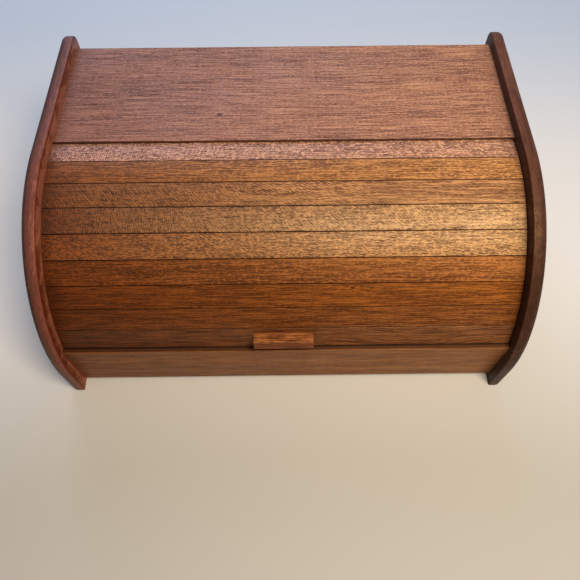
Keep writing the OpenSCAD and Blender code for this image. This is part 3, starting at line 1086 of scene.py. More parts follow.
class Finish:
    """The finishes of this box, by the piece that takes each."""

    # The drifts paint light along the pieces: the slats and the boards darker to the left and paler to the
    # right, the panels bluer towards the back
    PANEL_LEFT = PanelTeak(
        "teak_panel_left", "panel_teak", (134, 76, 60), shift=(0.31, 0.12, 0.0), inside=1.0,
        drift=((1.15, 1.1, 1.0), (0.7, 0.85, 1.3)), haze_share=0.3, wear_share=0.25, line_share=0.25,
        glint_share=0.15, fibre_pitch=9.0, gloss=0.35, patch_share=0.7, outer_shade_share=0.9)
    PANEL_RIGHT = PanelTeak(
        "teak_panel_right", "panel_teak", (82, 43, 29), shift=(1.37, 0.52, 0.2), inside=-1.0,
        drift=((0.4, 0.35, 0.3), (1.8, 2.1, 2.6)), haze_share=0.3, wear_share=0.15, line_share=0.35,
        glint_share=0.4, fibre_pitch=9.0, gloss=0.35, patch_share=0.45, outer_shade_share=0.25,
        inner_face=(0.45, 0.32, 0.30), red_share=0.8, low_share=0.4)
    # Its lower joint darkening is painted shade on the front edge, at the lip over the slats
    BOARD = Teak(
        "teak_top_board", "board_teak", (132, 84, 63), shift=(0.7, 0.33, 0.11), line_width=1.25,
        fibre_pitch=1.7, speckle=0.4, line_length=40.0, band_width=12.0, wander=0.5, arch_rise=3.0,
        arch_place=40.0, arch_reach=90.0, haze_share=0.4, haze=(0.82, 0.78, 0.92), grime=(0.85, 0.0, 0.35),
        gloss=0.4, gloss_tint=CLEAR, drift=((0.74, 0.64, 0.66), (1.26, 1.36, 1.34)),
        knots=(Knot(-53.0, -28.0, 3.4, 2.2, 0.9), Knot(-136.0, -30.0, 3.0, 1.1)))
    # Its upper joint darkening is painted shade on the top face, under the lead slat
    RAIL = RailTeak(
        "teak_rail", "rail_teak", (126, 74, 38), shift=(2.1, 0.9, 0.4), roughness=0.5, line_share=0.45,
        pale_share=0.3, glint_share=0.3, pore_share=0.35, grime=(0.0, 0.85, 0.35), gloss=0.4,
        drift=((0.80, 0.70, 0.74), (1.20, 1.30, 1.26)))
    LEAD = Teak(
        "teak_lead_slat", "lead_teak", (94, 49, 24), shift=(2.7, 0.2, 0.1), gloss_tint=(255, 215, 160),
        arch_place=110.0, arch_reach=45.0, arch_rise=7.0)
    PULL = PullTeak(
        "teak_pull", "pull_teak", (132, 76, 41), shift=(0.2, 0.45, 0.7), line_length=18.0, line_width=1.2,
        roughness=0.4, grime=(0.35, 0.0, 0.0), wear_share=0.7, drift=((1.0,) * 3, (1.0,) * 3))
    INNER = Teak(
        "teak_inside", "inner_teak", (150, 104, 72), shift=(3.3, 1.3, 0.9), roughness=0.62, haze_share=0.3,
        grime=(0.0, 0.0, 0.4), line_share=0.4, glint_share=0.35, gloss=0.35, gloss_tint=CLEAR,
        drift=((0.92, 0.90, 0.90), (1.08, 1.10, 1.10)))
    SLATS = (
        Teak("teak_tail_slat", "slat_teak_mid", (150, 98, 60), shift=(4.1, 0.1, 0.0)),
        Teak("teak_slat_1", "slat_teak_light", (140, 95, 76), shift=(0.5, 0.2, 0.0), haze=(0.85, 0.85, 1.1),
             figure=Flecks(0.8, (-84.0, -70.0), (-150.0, -60.0), -30.0, 0.3, 3.0), speckle=0.8,
             gloss=0.4, gloss_tint=CLEAR, drift=((0.82, 0.81, 0.92), (1.18, 1.19, 1.08))),
        Teak("teak_slat_2", "slat_teak_mid", (130, 79, 43), shift=(1.2, 0.6, 0.3), ripple=0.5, speckle=0.5),
        Teak("teak_slat_3", "slat_teak_mid", (121, 76, 47), shift=(1.9, 0.3, 0.5), ripple=0.7,
             figure=Flecks(0.9, (52.0, 24.0), (-110.0, 10.0), 20.0, 0.35),
             drift=((0.40, 0.23, 0.14), (1.60, 1.77, 1.86))),
        Teak("teak_slat_4", "slat_teak_mid", (115, 75, 47), shift=(2.6, 0.8, 0.2), ripple=0.6,
             figure=Flecks(0.9, (84.0, 46.0), (-110.0, -40.0), 70.0, 0.45), speckle=0.7, roughness=0.42,
             gloss_tint=STRAW, drift=((0.36, 0.14, 0.06), (1.64, 1.86, 1.94))),
        Teak("teak_slat_5", "slat_teak_dark", (117, 72, 40), shift=(3.3, 0.4, 0.6), ripple=0.9,
             figure=Flecks(0.7, (24.0, 10.0), (-60.0, 60.0), 120.0, 0.8, 3.6), speckle=0.8, roughness=0.42,
             gloss_tint=STRAW, drift=((0.52, 0.24, 0.04), (1.48, 1.76, 1.96))),
        Teak("teak_slat_6", "slat_teak_dark", (107, 56, 26), shift=(4.4, 0.7, 0.1), ripple=0.5, speckle=0.5,
             gloss_tint=AMBER),
        Teak("teak_slat_7", "slat_teak_dark", (101, 49, 15), shift=(5.2, 0.2, 0.8), ripple=0.5, speckle=0.25,
             gloss_tint=AMBER, knots=(Knot(53.0, 6.5, 2.6, 1.3, 0.9), Knot(60.0, 7.5, 1.6, 1.0),
                                      Knot(68.0, 6.0, 2.0, 1.0), Knot(30.0, 2.0, 3.6, 1.2, 0.6))),
        Teak("teak_slat_8", "slat_teak_dark", (97, 48, 18), shift=(6.1, 0.5, 0.4), ripple=0.5, speckle=0.25,
             gloss_tint=AMBER),
    )
    DOWEL = Plain("beech_dowel", "dowel_beech", (206, 172, 124), (168, 128, 84), (90.0, 900.0, 900.0), 0.62)
    BRASS = Plain("dulled_brass", "screw_brass", (196, 162, 96), (132, 100, 52), (700.0,) * 3, 0.34, 1.0)
    STEEL = Plain("bright_steel", "brad_steel", (164, 162, 158), (112, 108, 102), (800.0, 260.0, 800.0),
                  0.36, 1.0)


def new_object(name: str, mesh: Mesh) -> Object:
    """Puts a mesh into the scene as an object at the origin.

    Args:
        name: the object's name.
        mesh: its mesh.

    Returns:
        The object.
    """
    made = bpy.data.objects.new(name, mesh)
    bpy.context.scene.collection.objects.link(made)
    return made


def mesh_from(name: str, points: Sequence[Sequence[float]], faces: Sequence[Sequence[int]]) -> Mesh:
    """Builds a mesh.

    Args:
        name: the mesh's name.
        points: its points in metres.
        faces: its faces, by the numbers of their points.

    Returns:
        The mesh.
    """
    mesh = bpy.data.meshes.new(name)
    mesh.from_pydata([tuple(p) for p in points], [], [tuple(f) for f in faces])
    return mesh


def tidy_mesh(mesh: Mesh, sharp: float = 32.0) -> None:
    """Merges doubles, turns the faces outward and marks the sharp edges.

    Args:
        mesh: the mesh to finish.
        sharp: degrees past which an edge stays sharp.
    """
    form = bmesh.new()
    form.from_mesh(mesh)
    bmesh.ops.remove_doubles(form, verts=form.verts, dist=1e-6)
    bmesh.ops.recalc_face_normals(form, faces=form.faces)
    form.to_mesh(mesh)
    form.free()
    mesh.shade_smooth()
    mesh.set_sharp_from_angle(angle=math.radians(sharp))


class Tree:
    """A geometry tree with a call that runs it once and keeps the plain mesh."""

    def __init__(self, name: str, inputs: dict[Kind, tuple[str, ...]]) -> None:
        """Opens the tree.

        Args:
            name: the tree's name.
            inputs: its inputs by kind, beside its geometry and its material.
        """
        inputs = {Kind.GEOMETRY: ("geometry",), **inputs, Kind.MATERIAL: ("material",)}
        self.graph, self.given = open_group(name, inputs, "GeometryNodeTree")

    def close(self, shape: Wire) -> None:
        """Ends the tree in plain geometry with its material."""
        real = self.graph.get("GeometryNodeRealizeInstances", {0: shape})
        self.graph.close(geometry=self.graph.get(
            "GeometryNodeSetMaterial", {"Geometry": real, "Material": self.given.material}))

    def run(self, name: str, **values: object) -> Object:
        """Makes one piece.

        Args:
            name: the piece's name.
            **values: the tree's inputs, with underscores for spaces.

        Returns:
            The piece, a plain mesh at the origin.
        """
        piece = new_object(name, bpy.data.meshes.new(name))
        modifier = piece.modifiers.new("shape", "NODES")
        modifier.node_group = self.graph.tree
        named = labelled(values)
        for item in self.graph.tree.interface.items_tree:
            if item.in_out == "INPUT" and item.name in named:
                modifier[item.identifier] = named[item.name]
        piece.update_tag()
        bpy.context.view_layer.update()
        depsgraph = bpy.context.evaluated_depsgraph_get()
        mesh = bpy.data.meshes.new_from_object(piece.evaluated_get(depsgraph), preserve_all_data_layers=True,
                                               depsgraph=depsgraph)
        piece.modifiers.remove(modifier)
        piece.data = mesh
        mesh.name = name
        tidy_mesh(mesh)
        return piece


def swept_bar(face: Wire, back: Wire, thickness: Wire, length: Wire, arris: Wire) -> Wire:
    """Sweeps a four-sided section with rounded corners along x, centred on the origin, face up.

    Args:
        face: width of its face.
        back: width of its back.
        thickness: from its back to its face.
        length: its length.
        arris: radius of its corners.

    Returns:
        The bar's shape.
    """
    graph = face.graph
    section = graph.get("GeometryNodeCurvePrimitiveQuadrilateral",
                        {"Bottom Width": face, "Top Width": back, "Height": thickness, "Offset": 0.0},
                        mode="TRAPEZOID")
    rounded = graph.get("GeometryNodeFilletCurve", {"Curve": section, "Radius": arris, "Count": 3},
                        mode="POLY")
    half = length * 0.5
    line = graph.get("GeometryNodeCurvePrimitiveLine", {"Start": graph.join(half * -1.0, 0.0, 0.0),
                                                        "End": graph.join(half, 0.0, 0.0)})
    steps = graph.get("GeometryNodeResampleCurve", {"Curve": line, "Count": 49})
    return graph.get("GeometryNodeCurveToMesh", {"Curve": steps, "Profile Curve": rounded, "Fill Caps": True})


def slat_tree() -> Tree:
    """Builds the tree of a slat: a keystone bar with eased arrises and a tongue at each end.

    Returns:
        The tree.
    """
    tree = Tree("slat", {
        Kind.VECTOR: ("arc_centre",),
        Kind.VALUE: ("angle", "back_radius", "thickness", "back_width", "face_width", "length",
                     "tongue_length", "tongue_thickness", "arris", "warp", "seed")})
    graph, given = tree.graph, tree.given
    bar = swept_bar(given.face_width, given.back_width, given.thickness, given.length, given.arris)
    parts = [bar.moved(graph.join(0.0, 0.0, given.thickness * 0.5))]
    overlap = 3 * MM
    reach = given.tongue_length + overlap
    middle = given.length * 0.5 + reach * 0.5 - overlap
    tongue = swept_bar(given.back_width, given.back_width, given.tongue_thickness, reach, given.arris)
    for side in (-1.0, 1.0):
        parts.append(tongue.moved(graph.join(middle * side, 0.0, given.tongue_thickness * 0.5)))
    joined = graph.add("GeometryNodeJoinGeometry")
    for part in parts:
        graph.fill(joined, {0: part})
    local = graph.get("GeometryNodeInputPosition")
    stored = graph.get("GeometryNodeStoreNamedAttribute",
                       {"Geometry": Wire(graph, joined.outputs[0]), "Name": "grain", "Value": local},
                       data_type="FLOAT_VECTOR", domain="POINT")
    along, _, _ = local.parts()
    bow = graph.get("ShaderNodeTexNoise", {"W": along * 7.0 + given.seed, "Scale": 1.0, "Detail": 1.0},
                    noise_dimensions="1D")
    offset = graph.join(0.0, 0.0, (bow - 0.5) * given.warp)
    bent = graph.get("GeometryNodeSetPosition", {"Geometry": stored, "Offset": offset})
    raised = bent.moved(graph.join(0.0, 0.0, given.back_radius))
    tree.close(raised.moved(given.arc_centre, rotation=graph.join(given.angle, 0.0, 0.0)))
    return tree


def row_tree() -> Tree:
    """Builds the tree of a fastener's rows: even copies, each turned a little about its own axis.

    Returns:
        The tree.
    """
    tree = Tree("rows", {Kind.OBJECT: ("pattern",), Kind.INT: ("count", "rows", "seed"),
                         Kind.VECTOR: ("step", "row_step", "start", "heading")})
    graph, given = tree.graph, tree.given
    row = graph.get("GeometryNodeMeshLine", {"Count": given.count, "Offset": given.step})
    starts = graph.get("GeometryNodeMeshLine", {"Count": given.rows, "Start Location": given.start,
                                                "Offset": given.row_step})
    rows = graph.get("GeometryNodeInstanceOnPoints", {"Points": starts, "Instance": row})
    points = graph.get("GeometryNodeRealizeInstances", {0: rows})
    pattern = graph.get("GeometryNodeObjectInfo", {"Object": given.pattern}, "Geometry")
    placed = graph.get("GeometryNodeInstanceOnPoints",
                       {"Points": points, "Instance": pattern, "Rotation": given.heading})
    spin = graph.get("FunctionNodeRandomValue", {"Min": -1.3, "Max": 1.3, "Seed": given.seed},
                     data_type="FLOAT")
    tree.close(graph.get("GeometryNodeRotateInstances", {
        "Instances": placed, "Rotation": graph.join(0.0, 0.0, spin), "Local Space": True}))
    return tree


def lathe(name: str, profile: Sequence[tuple[float, float]], sides: int, flute: float = 0.0) -> Mesh:
    """Turns a profile about z, with its ends closed to points.

    Args:
        name: the mesh's name.
        profile: radius and height of each ring in millimetres, the ends at radius 0.
        sides: corners of each ring.
        flute: share that every second corner is drawn in.

    Returns:
        The closed mesh.
    """
    points: list[Point] = []
    faces: list[list[int]] = []
    for radius, height in profile:
        for k in range(sides):
            turn = math.tau * k / sides
            reach = radius * (1 - flute * (k % 2)) * MM
            points.append((reach * math.cos(turn), reach * math.sin(turn), height * MM))
    for ring in range(len(profile) - 1):
        for k in range(sides):
            a, b = ring * sides + k, ring * sides + (k + 1) % sides
            faces.append([a, b, b + sides, a + sides])
    mesh = mesh_from(name, points, faces)
    tidy_mesh(mesh)
    return mesh


@dataclass
class Fasteners:
    """Screws, brads and dowels, one pattern of each and the tree that repeats it in rows.

    Sizes are in millimetres, and each pattern points along z.
    """

    screw_length: float = 15.0
    screw_radius: float = 1.75
    screw_head: float = 3.25
    screw_head_depth: float = 1.5
    screw_tip: float = 2.2
    thread_from: float = 3.0
    thread_pitch: float = 1.1
    thread_depth: float = 0.35
    slot_width: float = 0.8
    slot_depth: float = 0.7
    brad_length: float = 20.0
    brad_radius: float = 0.7
    brad_head: float = 1.4
    brad_head_depth: float = 0.6
    brad_tip: float = 1.6
    dowel_radius: float = 3.0
    dowel_length: float = 30.0
    dowel_chamfer: float = 0.6
    tree: Tree = field(default_factory=row_tree)

    def screw(self) -> Mesh:
        """Makes a countersunk wood screw with a slotted head, its head at z 0.

        Returns:
            The screw.
        """
        outer, root = self.screw_radius, self.screw_radius - self.thread_depth
        tip = self.screw_length - self.screw_tip
        rings = [(0.0, 0.0), (self.screw_head, 0.0), (self.screw_head, 0.15), (outer, self.screw_head_depth)]
        for k in range(int((tip - self.thread_from) / self.thread_pitch)):
            foot = self.thread_from + k * self.thread_pitch
            rings += [(root, foot), (outer, foot + 0.45), (outer, foot + 0.6), (root, foot + 1.0)]
        rings += [(outer - 0.4, tip), (0.0, self.screw_length)]
        body = new_object("screw_body", lathe("screw_body", rings, 28))
        wide, half = self.screw_head + 1.0, self.slot_width / 2
        corners = [(x * wide * MM, y * half * MM, z * self.slot_depth * MM)
                   for z in (-1, 1) for x, y in ((-1, -1), (1, -1), (1, 1), (-1, 1))]
        sides = [(0, 3, 2, 1), (4, 5, 6, 7), (0, 1, 5, 4), (1, 2, 6, 5), (2, 3, 7, 6), (3, 0, 4, 7)]
        cutter = new_object("screw_slot", mesh_from("screw_slot", corners, sides))
        cut = body.modifiers.new("slot", "BOOLEAN")
        cut.operation, cut.object, cut.solver = "DIFFERENCE", cutter, "EXACT"
        bpy.context.view_layer.update()
        depsgraph = bpy.context.evaluated_depsgraph_get()
        slotted = bpy.data.meshes.new_from_object(body.evaluated_get(depsgraph), depsgraph=depsgraph)
        for used in (body, cutter):
            bpy.data.objects.remove(used)
        tidy_mesh(slotted)
        return slotted

    def brad(self) -> Mesh:
        """Makes a brad with a low domed head, its head at z 0."""
        head, shank, deep = self.brad_head, self.brad_radius, self.brad_head_depth
        return lathe("brad", [(0.0, 0.0), (head * 0.8, 0.03), (head, 0.2), (head, deep * 0.7), (shank, deep),
                              (shank, self.brad_length - self.brad_tip), (0.0, self.brad_length)], 20)

    def dowel(self) -> Mesh:
        """Makes a fluted dowel with chamfered ends, its middle at z 0."""
        wide, half, ease = self.dowel_radius, self.dowel_length / 2, self.dowel_chamfer
        return lathe("dowel", [(0.0, -half), (wide - ease, -half), (wide, -half + ease), (wide, half - ease),
                               (wide - ease, half), (0.0, half)], 36, flute=0.05)

    def lay(self, name: str, node: str, body: str, pattern: Mesh, look: Plain, **places: object) -> None:
        """Repeats a pattern in rows as one piece.

        Args:
            name: the piece's name.
            node: the CAD node that it stands for.
            body: the body that it rides on.
            pattern: the fastener's mesh.
            look: its finish.
            **places: start, heading, count and step of a row, and where there are two, rows and
                row_step; start and steps are in metres.
        """
        source = new_object("pattern", pattern)
        places = {"rows": 1, "row_step": (0.0, 0.0, 0.0), **places}
        piece = self.tree.run(name, pattern=source, seed=len(name), material=look.material(), **places)
        bpy.data.objects.remove(source)
        settle(piece, body, look.slot, node)


def settle(piece: Object, body: str, slot: str, *nodes: str) -> None:
    """Puts a piece on its body and hides the CAD nodes that it stands for.

    Args:
        piece: the piece.
        body: the body that it rides on.
        slot: the record's slot, not used.
        *nodes: the CAD nodes that it stands for.
    """
    if nodes:
        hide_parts(*nodes)
    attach(piece, body)
    LOG.info("%s: %d faces on %s", piece.name, len(piece.data.polygons), body)


def dress(node: str, finish: Teak, effects: WoodEffects, turn: Point) -> None:
    """Gives a CAD node a finer material in every slot.

    Args:
        node: the node's name.
        finish: its finish.
        effects: the shared shader groups.
        turn: turn from its coordinates to along, across, into.
    """
    piece = frame["nodes"][node]
    material = finish.material(effects, blank_of(piece, turn))
    for slot in piece.material_slots:
        slot.material = material
    LOG.info("%s: dressed in %s", node, material.name)


@dataclass
class Case:
    """The end panels, the boards and the rail between them, with their dowels and brads.

    Sizes are in millimetres.
    """

    effects: WoodEffects
    fasteners: Fasteners
    dowel_x: float = 181.0
    rail_y: float = -123.0
    rail_dowel_z: tuple[float, float] = (24.0, 46.5)
    board_z: float = 156.5
    board_dowel_y: tuple[float, float] = (111.5, 45.75)
    brad_step: float = 75.2
    brad_z: float = 13.0
    back_face: float = 128.5

    def build(self) -> None:
        """Dresses the CAD nodes and makes the fasteners."""
        for node, finish, lie in (
                ("side_left", Finish.PANEL_LEFT, Lie.PANEL), ("side_right", Finish.PANEL_RIGHT, Lie.PANEL),
                ("top_board", Finish.BOARD, Lie.FLAT), ("bottom_board", Finish.INNER, Lie.FLAT),
                ("front_rail", Finish.RAIL, Lie.UPRIGHT), ("back_board", Finish.INNER, Lie.UPRIGHT)):
            dress(node, finish, self.effects, lie.value)
        low, high = self.rail_dowel_z
        back, front = self.board_dowel_y
        for name, node, y, z, count, step in (
                ("dowels_of_rail", "rail_dowels", self.rail_y, low, 2, (0.0, 0.0, (high - low) * MM)),
                ("dowels_of_board", "board_dowels", back, self.board_z, 3,
                 (0.0, (front - back) / 2 * MM, 0.0))):
            self.fasteners.lay(name, node, "case", self.fasteners.dowel(), Finish.DOWEL,
                               start=(-self.dowel_x * MM, y * MM, z * MM),
                               heading=(0.0, math.radians(90), 0.0), count=count, step=step,
                               rows=2, row_step=(2 * self.dowel_x * MM, 0.0, 0.0))
        self.fasteners.lay("brads_of_back", "back_brads", "case", self.fasteners.brad(), Finish.STEEL,
                           start=(-2 * self.brad_step * MM, self.back_face * MM, self.brad_z * MM),
                           heading=(math.radians(90), 0.0, 0.0), count=5,
                           step=(self.brad_step * MM, 0.0, 0.0))


@dataclass
class Tambour:
    """The curtain of slats on its canvas, with the lead slat, the pull and its screws.

    Sizes are in millimetres and angles in degrees. A slat's own frame has x along it, t across it
    towards the top board, and r away from the arc's centre.
    """

    effects: WoodEffects
    fasteners: Fasteners
    arc_centre: Point
    back_radius: float = 120.0
    thickness: float = 6.0
    back_width: float = 19.35
    face_width: float = 20.07
    length: float = 375.0
    tongue_length: float = 5.7
    tongue_thickness: float = 3.5
    arris: float = 0.45
    warp: float = 0.16
    pitch: float = 9.29
    lead_angle: float = 71.2
    lead_step: float = 4.88
    canvas_half: float = 184.0
    canvas_from: float = -17.3
    canvas_end: float = 7.25
    canvas_outer: float = 0.02
    canvas_inner: float = 0.6
    canvas_cell: tuple[float, float] = (9.0, 2.4)
    hole_radius: float = 3.65
    hole_margin: float = 2.0
    screw_x: tuple[float, float] = (-15.0, 11.0)
    screw_t: float = 1.425
    tree: Tree = field(default_factory=slat_tree)

    def angle(self, place: int) -> float:
        """Turn of a slat in degrees, counted from the top board: 0 is the tail slat."""
        return self.lead_angle - self.lead_step - (8.5 - place) * self.pitch

    def build(self) -> None:
        """Makes the slats, dresses the lead slat and the pull, and makes the canvas and the screws."""
        for place, finish in enumerate(Finish.SLATS):
            self.make_slat(place, finish)
        for node, finish in (("lead_slat", Finish.LEAD), ("pull", Finish.PULL)):
            dress(node, finish, self.effects, (math.radians(-self.lead_angle), 0.0, 0.0))
        self.make_canvas()
        self.make_screws()

    def make_slat(self, place: int, finish: Teak) -> None:
        """Makes one slat with the shared tree.

        Args:
            place: its number from the top board, 0 for the tail slat.
            finish: its finish.
        """
        node = f"slat_{place}" if place else "tail_slat"
        sizes = in_metres(self, "back_radius", "thickness", "back_width", "face_width", "length",
                          "tongue_length", "tongue_thickness", "arris", "warp")
        half = (sizes["length"] / 2, sizes["face_width"] / 2, sizes["thickness"] / 2)
        blank = Blank(half, (0.0, 0.0, half[2]), attribute="grain")
        piece = self.tree.run(f"{node}_bar", arc_centre=self.arc_centre,
                              angle=math.radians(self.angle(place)), seed=3.7 * place,
                              material=finish.material(self.effects, blank), **sizes)
        settle(piece, "tambour", finish.slot, node)

    def on_arc(self, turn: float, t: float, r: float, x: float) -> Point:
        """Brings a point from a slat's frame to its place.

        Args:
            turn: the slat's turn in radians.
            t: how far across the slat, in millimetres.
            r: how far from the arc's centre.
            x: how far along the slat.

        Returns:
            Its place in metres.
        """
        _, y, z = self.arc_centre
        sine, cosine = math.sin(turn), math.cos(turn)
        return x * MM, y + (t * cosine - r * sine) * MM, z + (t * sine + r * cosine) * MM

    def on_cloth(self, x: float, turn: float, depth: float) -> Point:
        """Places a point of the cloth, which lies flat on each slat's back and folds at the joints.

        Args:
            x: its place along the slats.
            turn: its turn about the arc's centre.
            depth: how far it lies below the slats' backs.

        Returns:
            Its place in metres.
        """
        angles = [self.angle(place) for place in range(9)] + [self.lead_angle]
        nearest = min(angles, key=lambda angle: abs(angle - turn))
        radius = self.back_radius / math.cos(math.radians(turn - nearest)) - depth
        return self.on_arc(math.radians(turn), 0.0, radius, x)

    def make_canvas(self) -> None:
        """Makes the cloth behind the slats: flat on each slat's back, with two holes for the screws."""
        end = self.lead_angle + math.degrees(math.atan2(self.canvas_end, self.back_radius))
        hole = self.lead_angle - math.degrees(math.atan2(self.screw_t, self.back_radius))
        scale = math.radians(1) * self.back_radius
        wide, long = self.canvas_cell
        columns, hole_columns = self._grid_lines(-self.canvas_half, self.canvas_half, self.screw_x, wide)
        rows, hole_rows = self._grid_lines(self.canvas_from * scale, end * scale, (hole * scale,), long)
        flat, faces = self._holed_grid(columns, rows, hole_columns, hole_rows)
        edges = [(face[k - 1], face[k]) for face in faces for k in range(len(face))]
        rim = set(edges) - {(b, a) for a, b in edges}
        count = len(flat)
        closed = [*faces, *([i + count for i in reversed(face)] for face in faces),
                  *((b, a, a + count, b + count) for a, b in edges if (a, b) in rim)]
        points = [self.on_cloth(x, s / scale, depth)
                  for depth in (self.canvas_outer, self.canvas_inner) for x, s in flat]
        mesh = mesh_from("canvas_cloth", points, closed)
        grain = mesh.attributes.new("grain", "FLOAT_VECTOR", "POINT")
        places = [(x * MM, s * MM, depth * MM) for depth in (0.0, self.canvas_inner) for x, s in flat]
        grain.data.foreach_set("vector", np.array(places, np.float32).ravel())
        tidy_mesh(mesh, 50.0)
        cloth = new_object("canvas_cloth", mesh)
        look = Canvas()
        mesh.materials.append(look.material())
        settle(cloth, "tambour", look.slot, "canvas_backing")

    def _grid_lines(self, low: float, high: float, centres: Sequence[float],
                    step: float) -> tuple[list[float], list[int]]:
        """Spaces grid lines evenly, with a block of four cells about each centre.

        Args:
            low: first line.
            high: last line.
            centres: middles of the blocks.
            step: widest cell outside the blocks.

        Returns:
            The lines, and the number of each block's first line.
        """
        half = self.hole_radius + self.hole_margin
        lines, starts = [low], []
        for centre in centres:
            count = max(1, math.ceil((centre - half - lines[-1]) / step))
            lines += list(np.linspace(lines[-1], centre - half, count + 1)[1:])
            starts.append(len(lines) - 1)
            lines += list(np.linspace(lines[-1], centre + half, 5)[1:])
        count = max(1, math.ceil((high - lines[-1]) / step))
        lines += list(np.linspace(lines[-1], high, count + 1)[1:])
        return [float(line) for line in lines], starts

    def _holed_grid(self, columns: list[float], rows: list[float], across: list[int],
                    along: list[int]) -> tuple[list[tuple[float, float]], list[list[int]]]:
        """Builds a flat grid in which each block of four by four cells holds a round hole.

        Args:
            columns: places of its columns.
            rows: places of its rows.
            across: first column of each block.
            along: first row of each block.

        Returns:
            Its points and its faces.
        """
        wide = len(columns)
        points = [(x, s) for s in rows for x in columns]
        blocks = [(i, j) for i in across for j in along]
        faces = []
        for j in range(len(rows) - 1):
            for i in range(wide - 1):
                if not any(bi <= i < bi + 4 and bj <= j < bj + 4 for bi, bj in blocks):
                    faces.append([j * wide + i, j * wide + i + 1, (j + 1) * wide + i + 1, (j + 1) * wide + i])
        for bi, bj in blocks:
            edge = ([(bi + k, bj) for k in range(4)] + [(bi + 4, bj + k) for k in range(4)]
                    + [(bi + 4 - k, bj + 4) for k in range(4)] + [(bi, bj + 4 - k) for k in range(4)])
            square = [j * wide + i for i, j in edge]
            middle = ((columns[bi] + columns[bi + 4]) / 2, (rows[bj] + rows[bj + 4]) / 2)
            first = len(points)
            for corner in square:
                away = (points[corner][0] - middle[0], points[corner][1] - middle[1])
                share = self.hole_radius / math.hypot(*away)
                points.append((middle[0] + away[0] * share, middle[1] + away[1] * share))
            for k in range(16):
                after = (k + 1) % 16
                faces.append([square[k], square[after], first + after, first + k])
        return points, faces

    def make_screws(self) -> None:
        """Puts the pull's two screws in from inside."""
        turn = math.radians(self.lead_angle)
        first, second = self.screw_x
        self.fasteners.lay("screws_of_pull", "pull_screws", "tambour", self.fasteners.screw(), Finish.BRASS,
                           start=self.on_arc(turn, self.screw_t, self.back_radius, first),
                           heading=(turn, 0.0, 0.0), count=2, step=((second - first) * MM, 0.0, 0.0))


@dataclass(frozen=True)
class Lamp:
    """A soft rectangular lamp.

    Attributes:
        name: its name.
        place: where it hangs, in metres.
        target: what it faces.
        size: its width and height.
        power: its power in watts.
        tone: the colour of its light.
    """

    name: str
    place: Point
    target: Point
    size: tuple[float, float]
    power: float
    tone: Colour

    def hang(self) -> None:
        """Puts the lamp into the scene."""
        light = bpy.data.lights.new(self.name, "AREA")
        light.shape = "RECTANGLE"
        light.size, light.size_y = self.size
        light.energy = self.power
        light.color = linear(self.tone)[:3]
        lamp = bpy.data.objects.new(self.name, light)
        bpy.context.scene.collection.objects.link(lamp)
        aim = (Vector(self.target) - Vector(self.place)).to_track_quat("-Z", "Y")
        lamp.matrix_world = Matrix.Translation(self.place) @ aim.to_matrix().to_4x4()


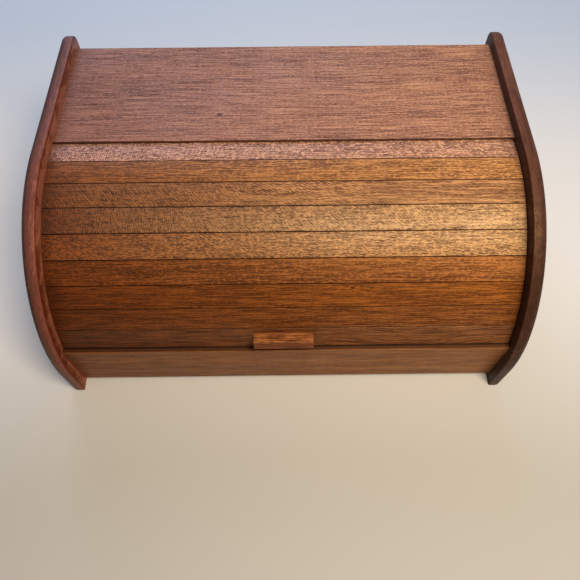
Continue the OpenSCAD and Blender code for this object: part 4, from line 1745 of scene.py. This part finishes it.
@dataclass
class Studio:
    """A pale floor, the camera at the photo's angle, soft lamps and the room's even light.

    Lengths are in metres and angles in degrees. The floor's tone goes from near to middle to far
    between the places in floor_painted_light_steps, which are counted from the box's middle to the back:
    painted light, darker and warmer near the camera, brightest about the box, cooler and bluer far back.
    """

    eye: Point = (0.00208, -0.31164, 0.50108)
    pitch_down: float = 61.116
    yaw: float = 0.435
    roll: float = -0.277
    focal_share: float = 560.2 / 580
    sensor: float = 36.0
    floor_size: float = 6.0
    floor_painted_light: tuple[Colour, Colour, Colour] = ((190, 183, 170), (232, 228, 223), (204, 212, 222))
    floor_painted_light_steps: tuple[tuple[float, float], tuple[float, float]] = ((-0.26, 0.0), (0.08, 0.42))
    floor_roughness: float = 0.75
    world_tone: Colour = (236, 240, 246)
    world_strength: float = 0.36
    lamps: tuple[Lamp, ...] = (
        Lamp("key_lamp", (0.28, -0.38, 0.86), (0.05, 0.0, 0.08), (0.30, 0.30), 7.2, (255, 238, 212)),
        Lamp("window_lamp", (-0.25, 1.35, 1.15), (0.0, 0.0, 0.08), (1.2, 0.7), 12.0, (200, 218, 255)))

    def build(self) -> None:
        """Sets up the camera, the floor, the lamps, the room's light and the view."""
        self.place_camera()
        self.lay_floor()
        for lamp in self.lamps:
            lamp.hang()
        self.light_world()
        bpy.context.scene.view_settings.view_transform = "Standard"

    def place_camera(self) -> None:
        """Puts the camera where the photo was taken from."""
        lens = bpy.data.cameras.new("photo_camera")
        lens.sensor_fit, lens.sensor_width = "HORIZONTAL", self.sensor
        lens.lens = self.sensor * self.focal_share
        lens.clip_start, lens.clip_end = 0.01, 50.0
        camera = bpy.data.objects.new("photo_camera", lens)
        bpy.context.scene.collection.objects.link(camera)
        aim = (Matrix.Rotation(math.radians(-self.yaw), 4, "Z")
               @ Matrix.Rotation(math.radians(90 - self.pitch_down), 4, "X")
               @ Matrix.Rotation(math.radians(self.roll), 4, "Z"))
        camera.matrix_world = Matrix.Translation(self.eye) @ aim
        bpy.context.scene.camera = camera

    def lay_floor(self) -> None:
        """Lays the floor, with painted light in its tone."""
        half = self.floor_size / 2
        corners = [(-half, -half, 0.0), (half, -half, 0.0), (half, half, 0.0), (-half, half, 0.0)]
        floor = new_object("floor", mesh_from("floor", corners, [(0, 1, 2, 3)]))
        look, graph, shader = open_material("pale_floor")
        _, away, _ = graph.get("ShaderNodeTexCoord", output="Object").parts()
        # Painted light: darker and warmer in front, brightest about the box, cooler and bluer behind
        near, middle, far = map(linear, self.floor_painted_light)
        first, second = (away.spread(*step, smooth=True) for step in self.floor_painted_light_steps)
        graph.fill(shader, {"Base Color": graph.mix(first, near, middle).toward(far, second),
                            "Roughness": self.floor_roughness})
        floor.data.materials.append(look)

    def light_world(self) -> None:
        """Gives the room its even light."""
        world = bpy.data.worlds.new("room")
        world.use_nodes = True
        back = world.node_tree.nodes["Background"]
        back.inputs["Color"].default_value = linear(self.world_tone)
        back.inputs["Strength"].default_value = self.world_strength
        bpy.context.scene.world = world


def main() -> None:
    """Builds the studio and dresses the box.
    """
    logging.basicConfig(level=logging.INFO, format="%(name)s: %(message)s")
    Studio().build()
    effects = WoodEffects()
    fasteners = Fasteners()
    Case(effects, fasteners).build()
    Tambour(effects, fasteners, tuple(frame["joints"][0]["pos_m"])).build()


if __name__ == "__main__":
    main()
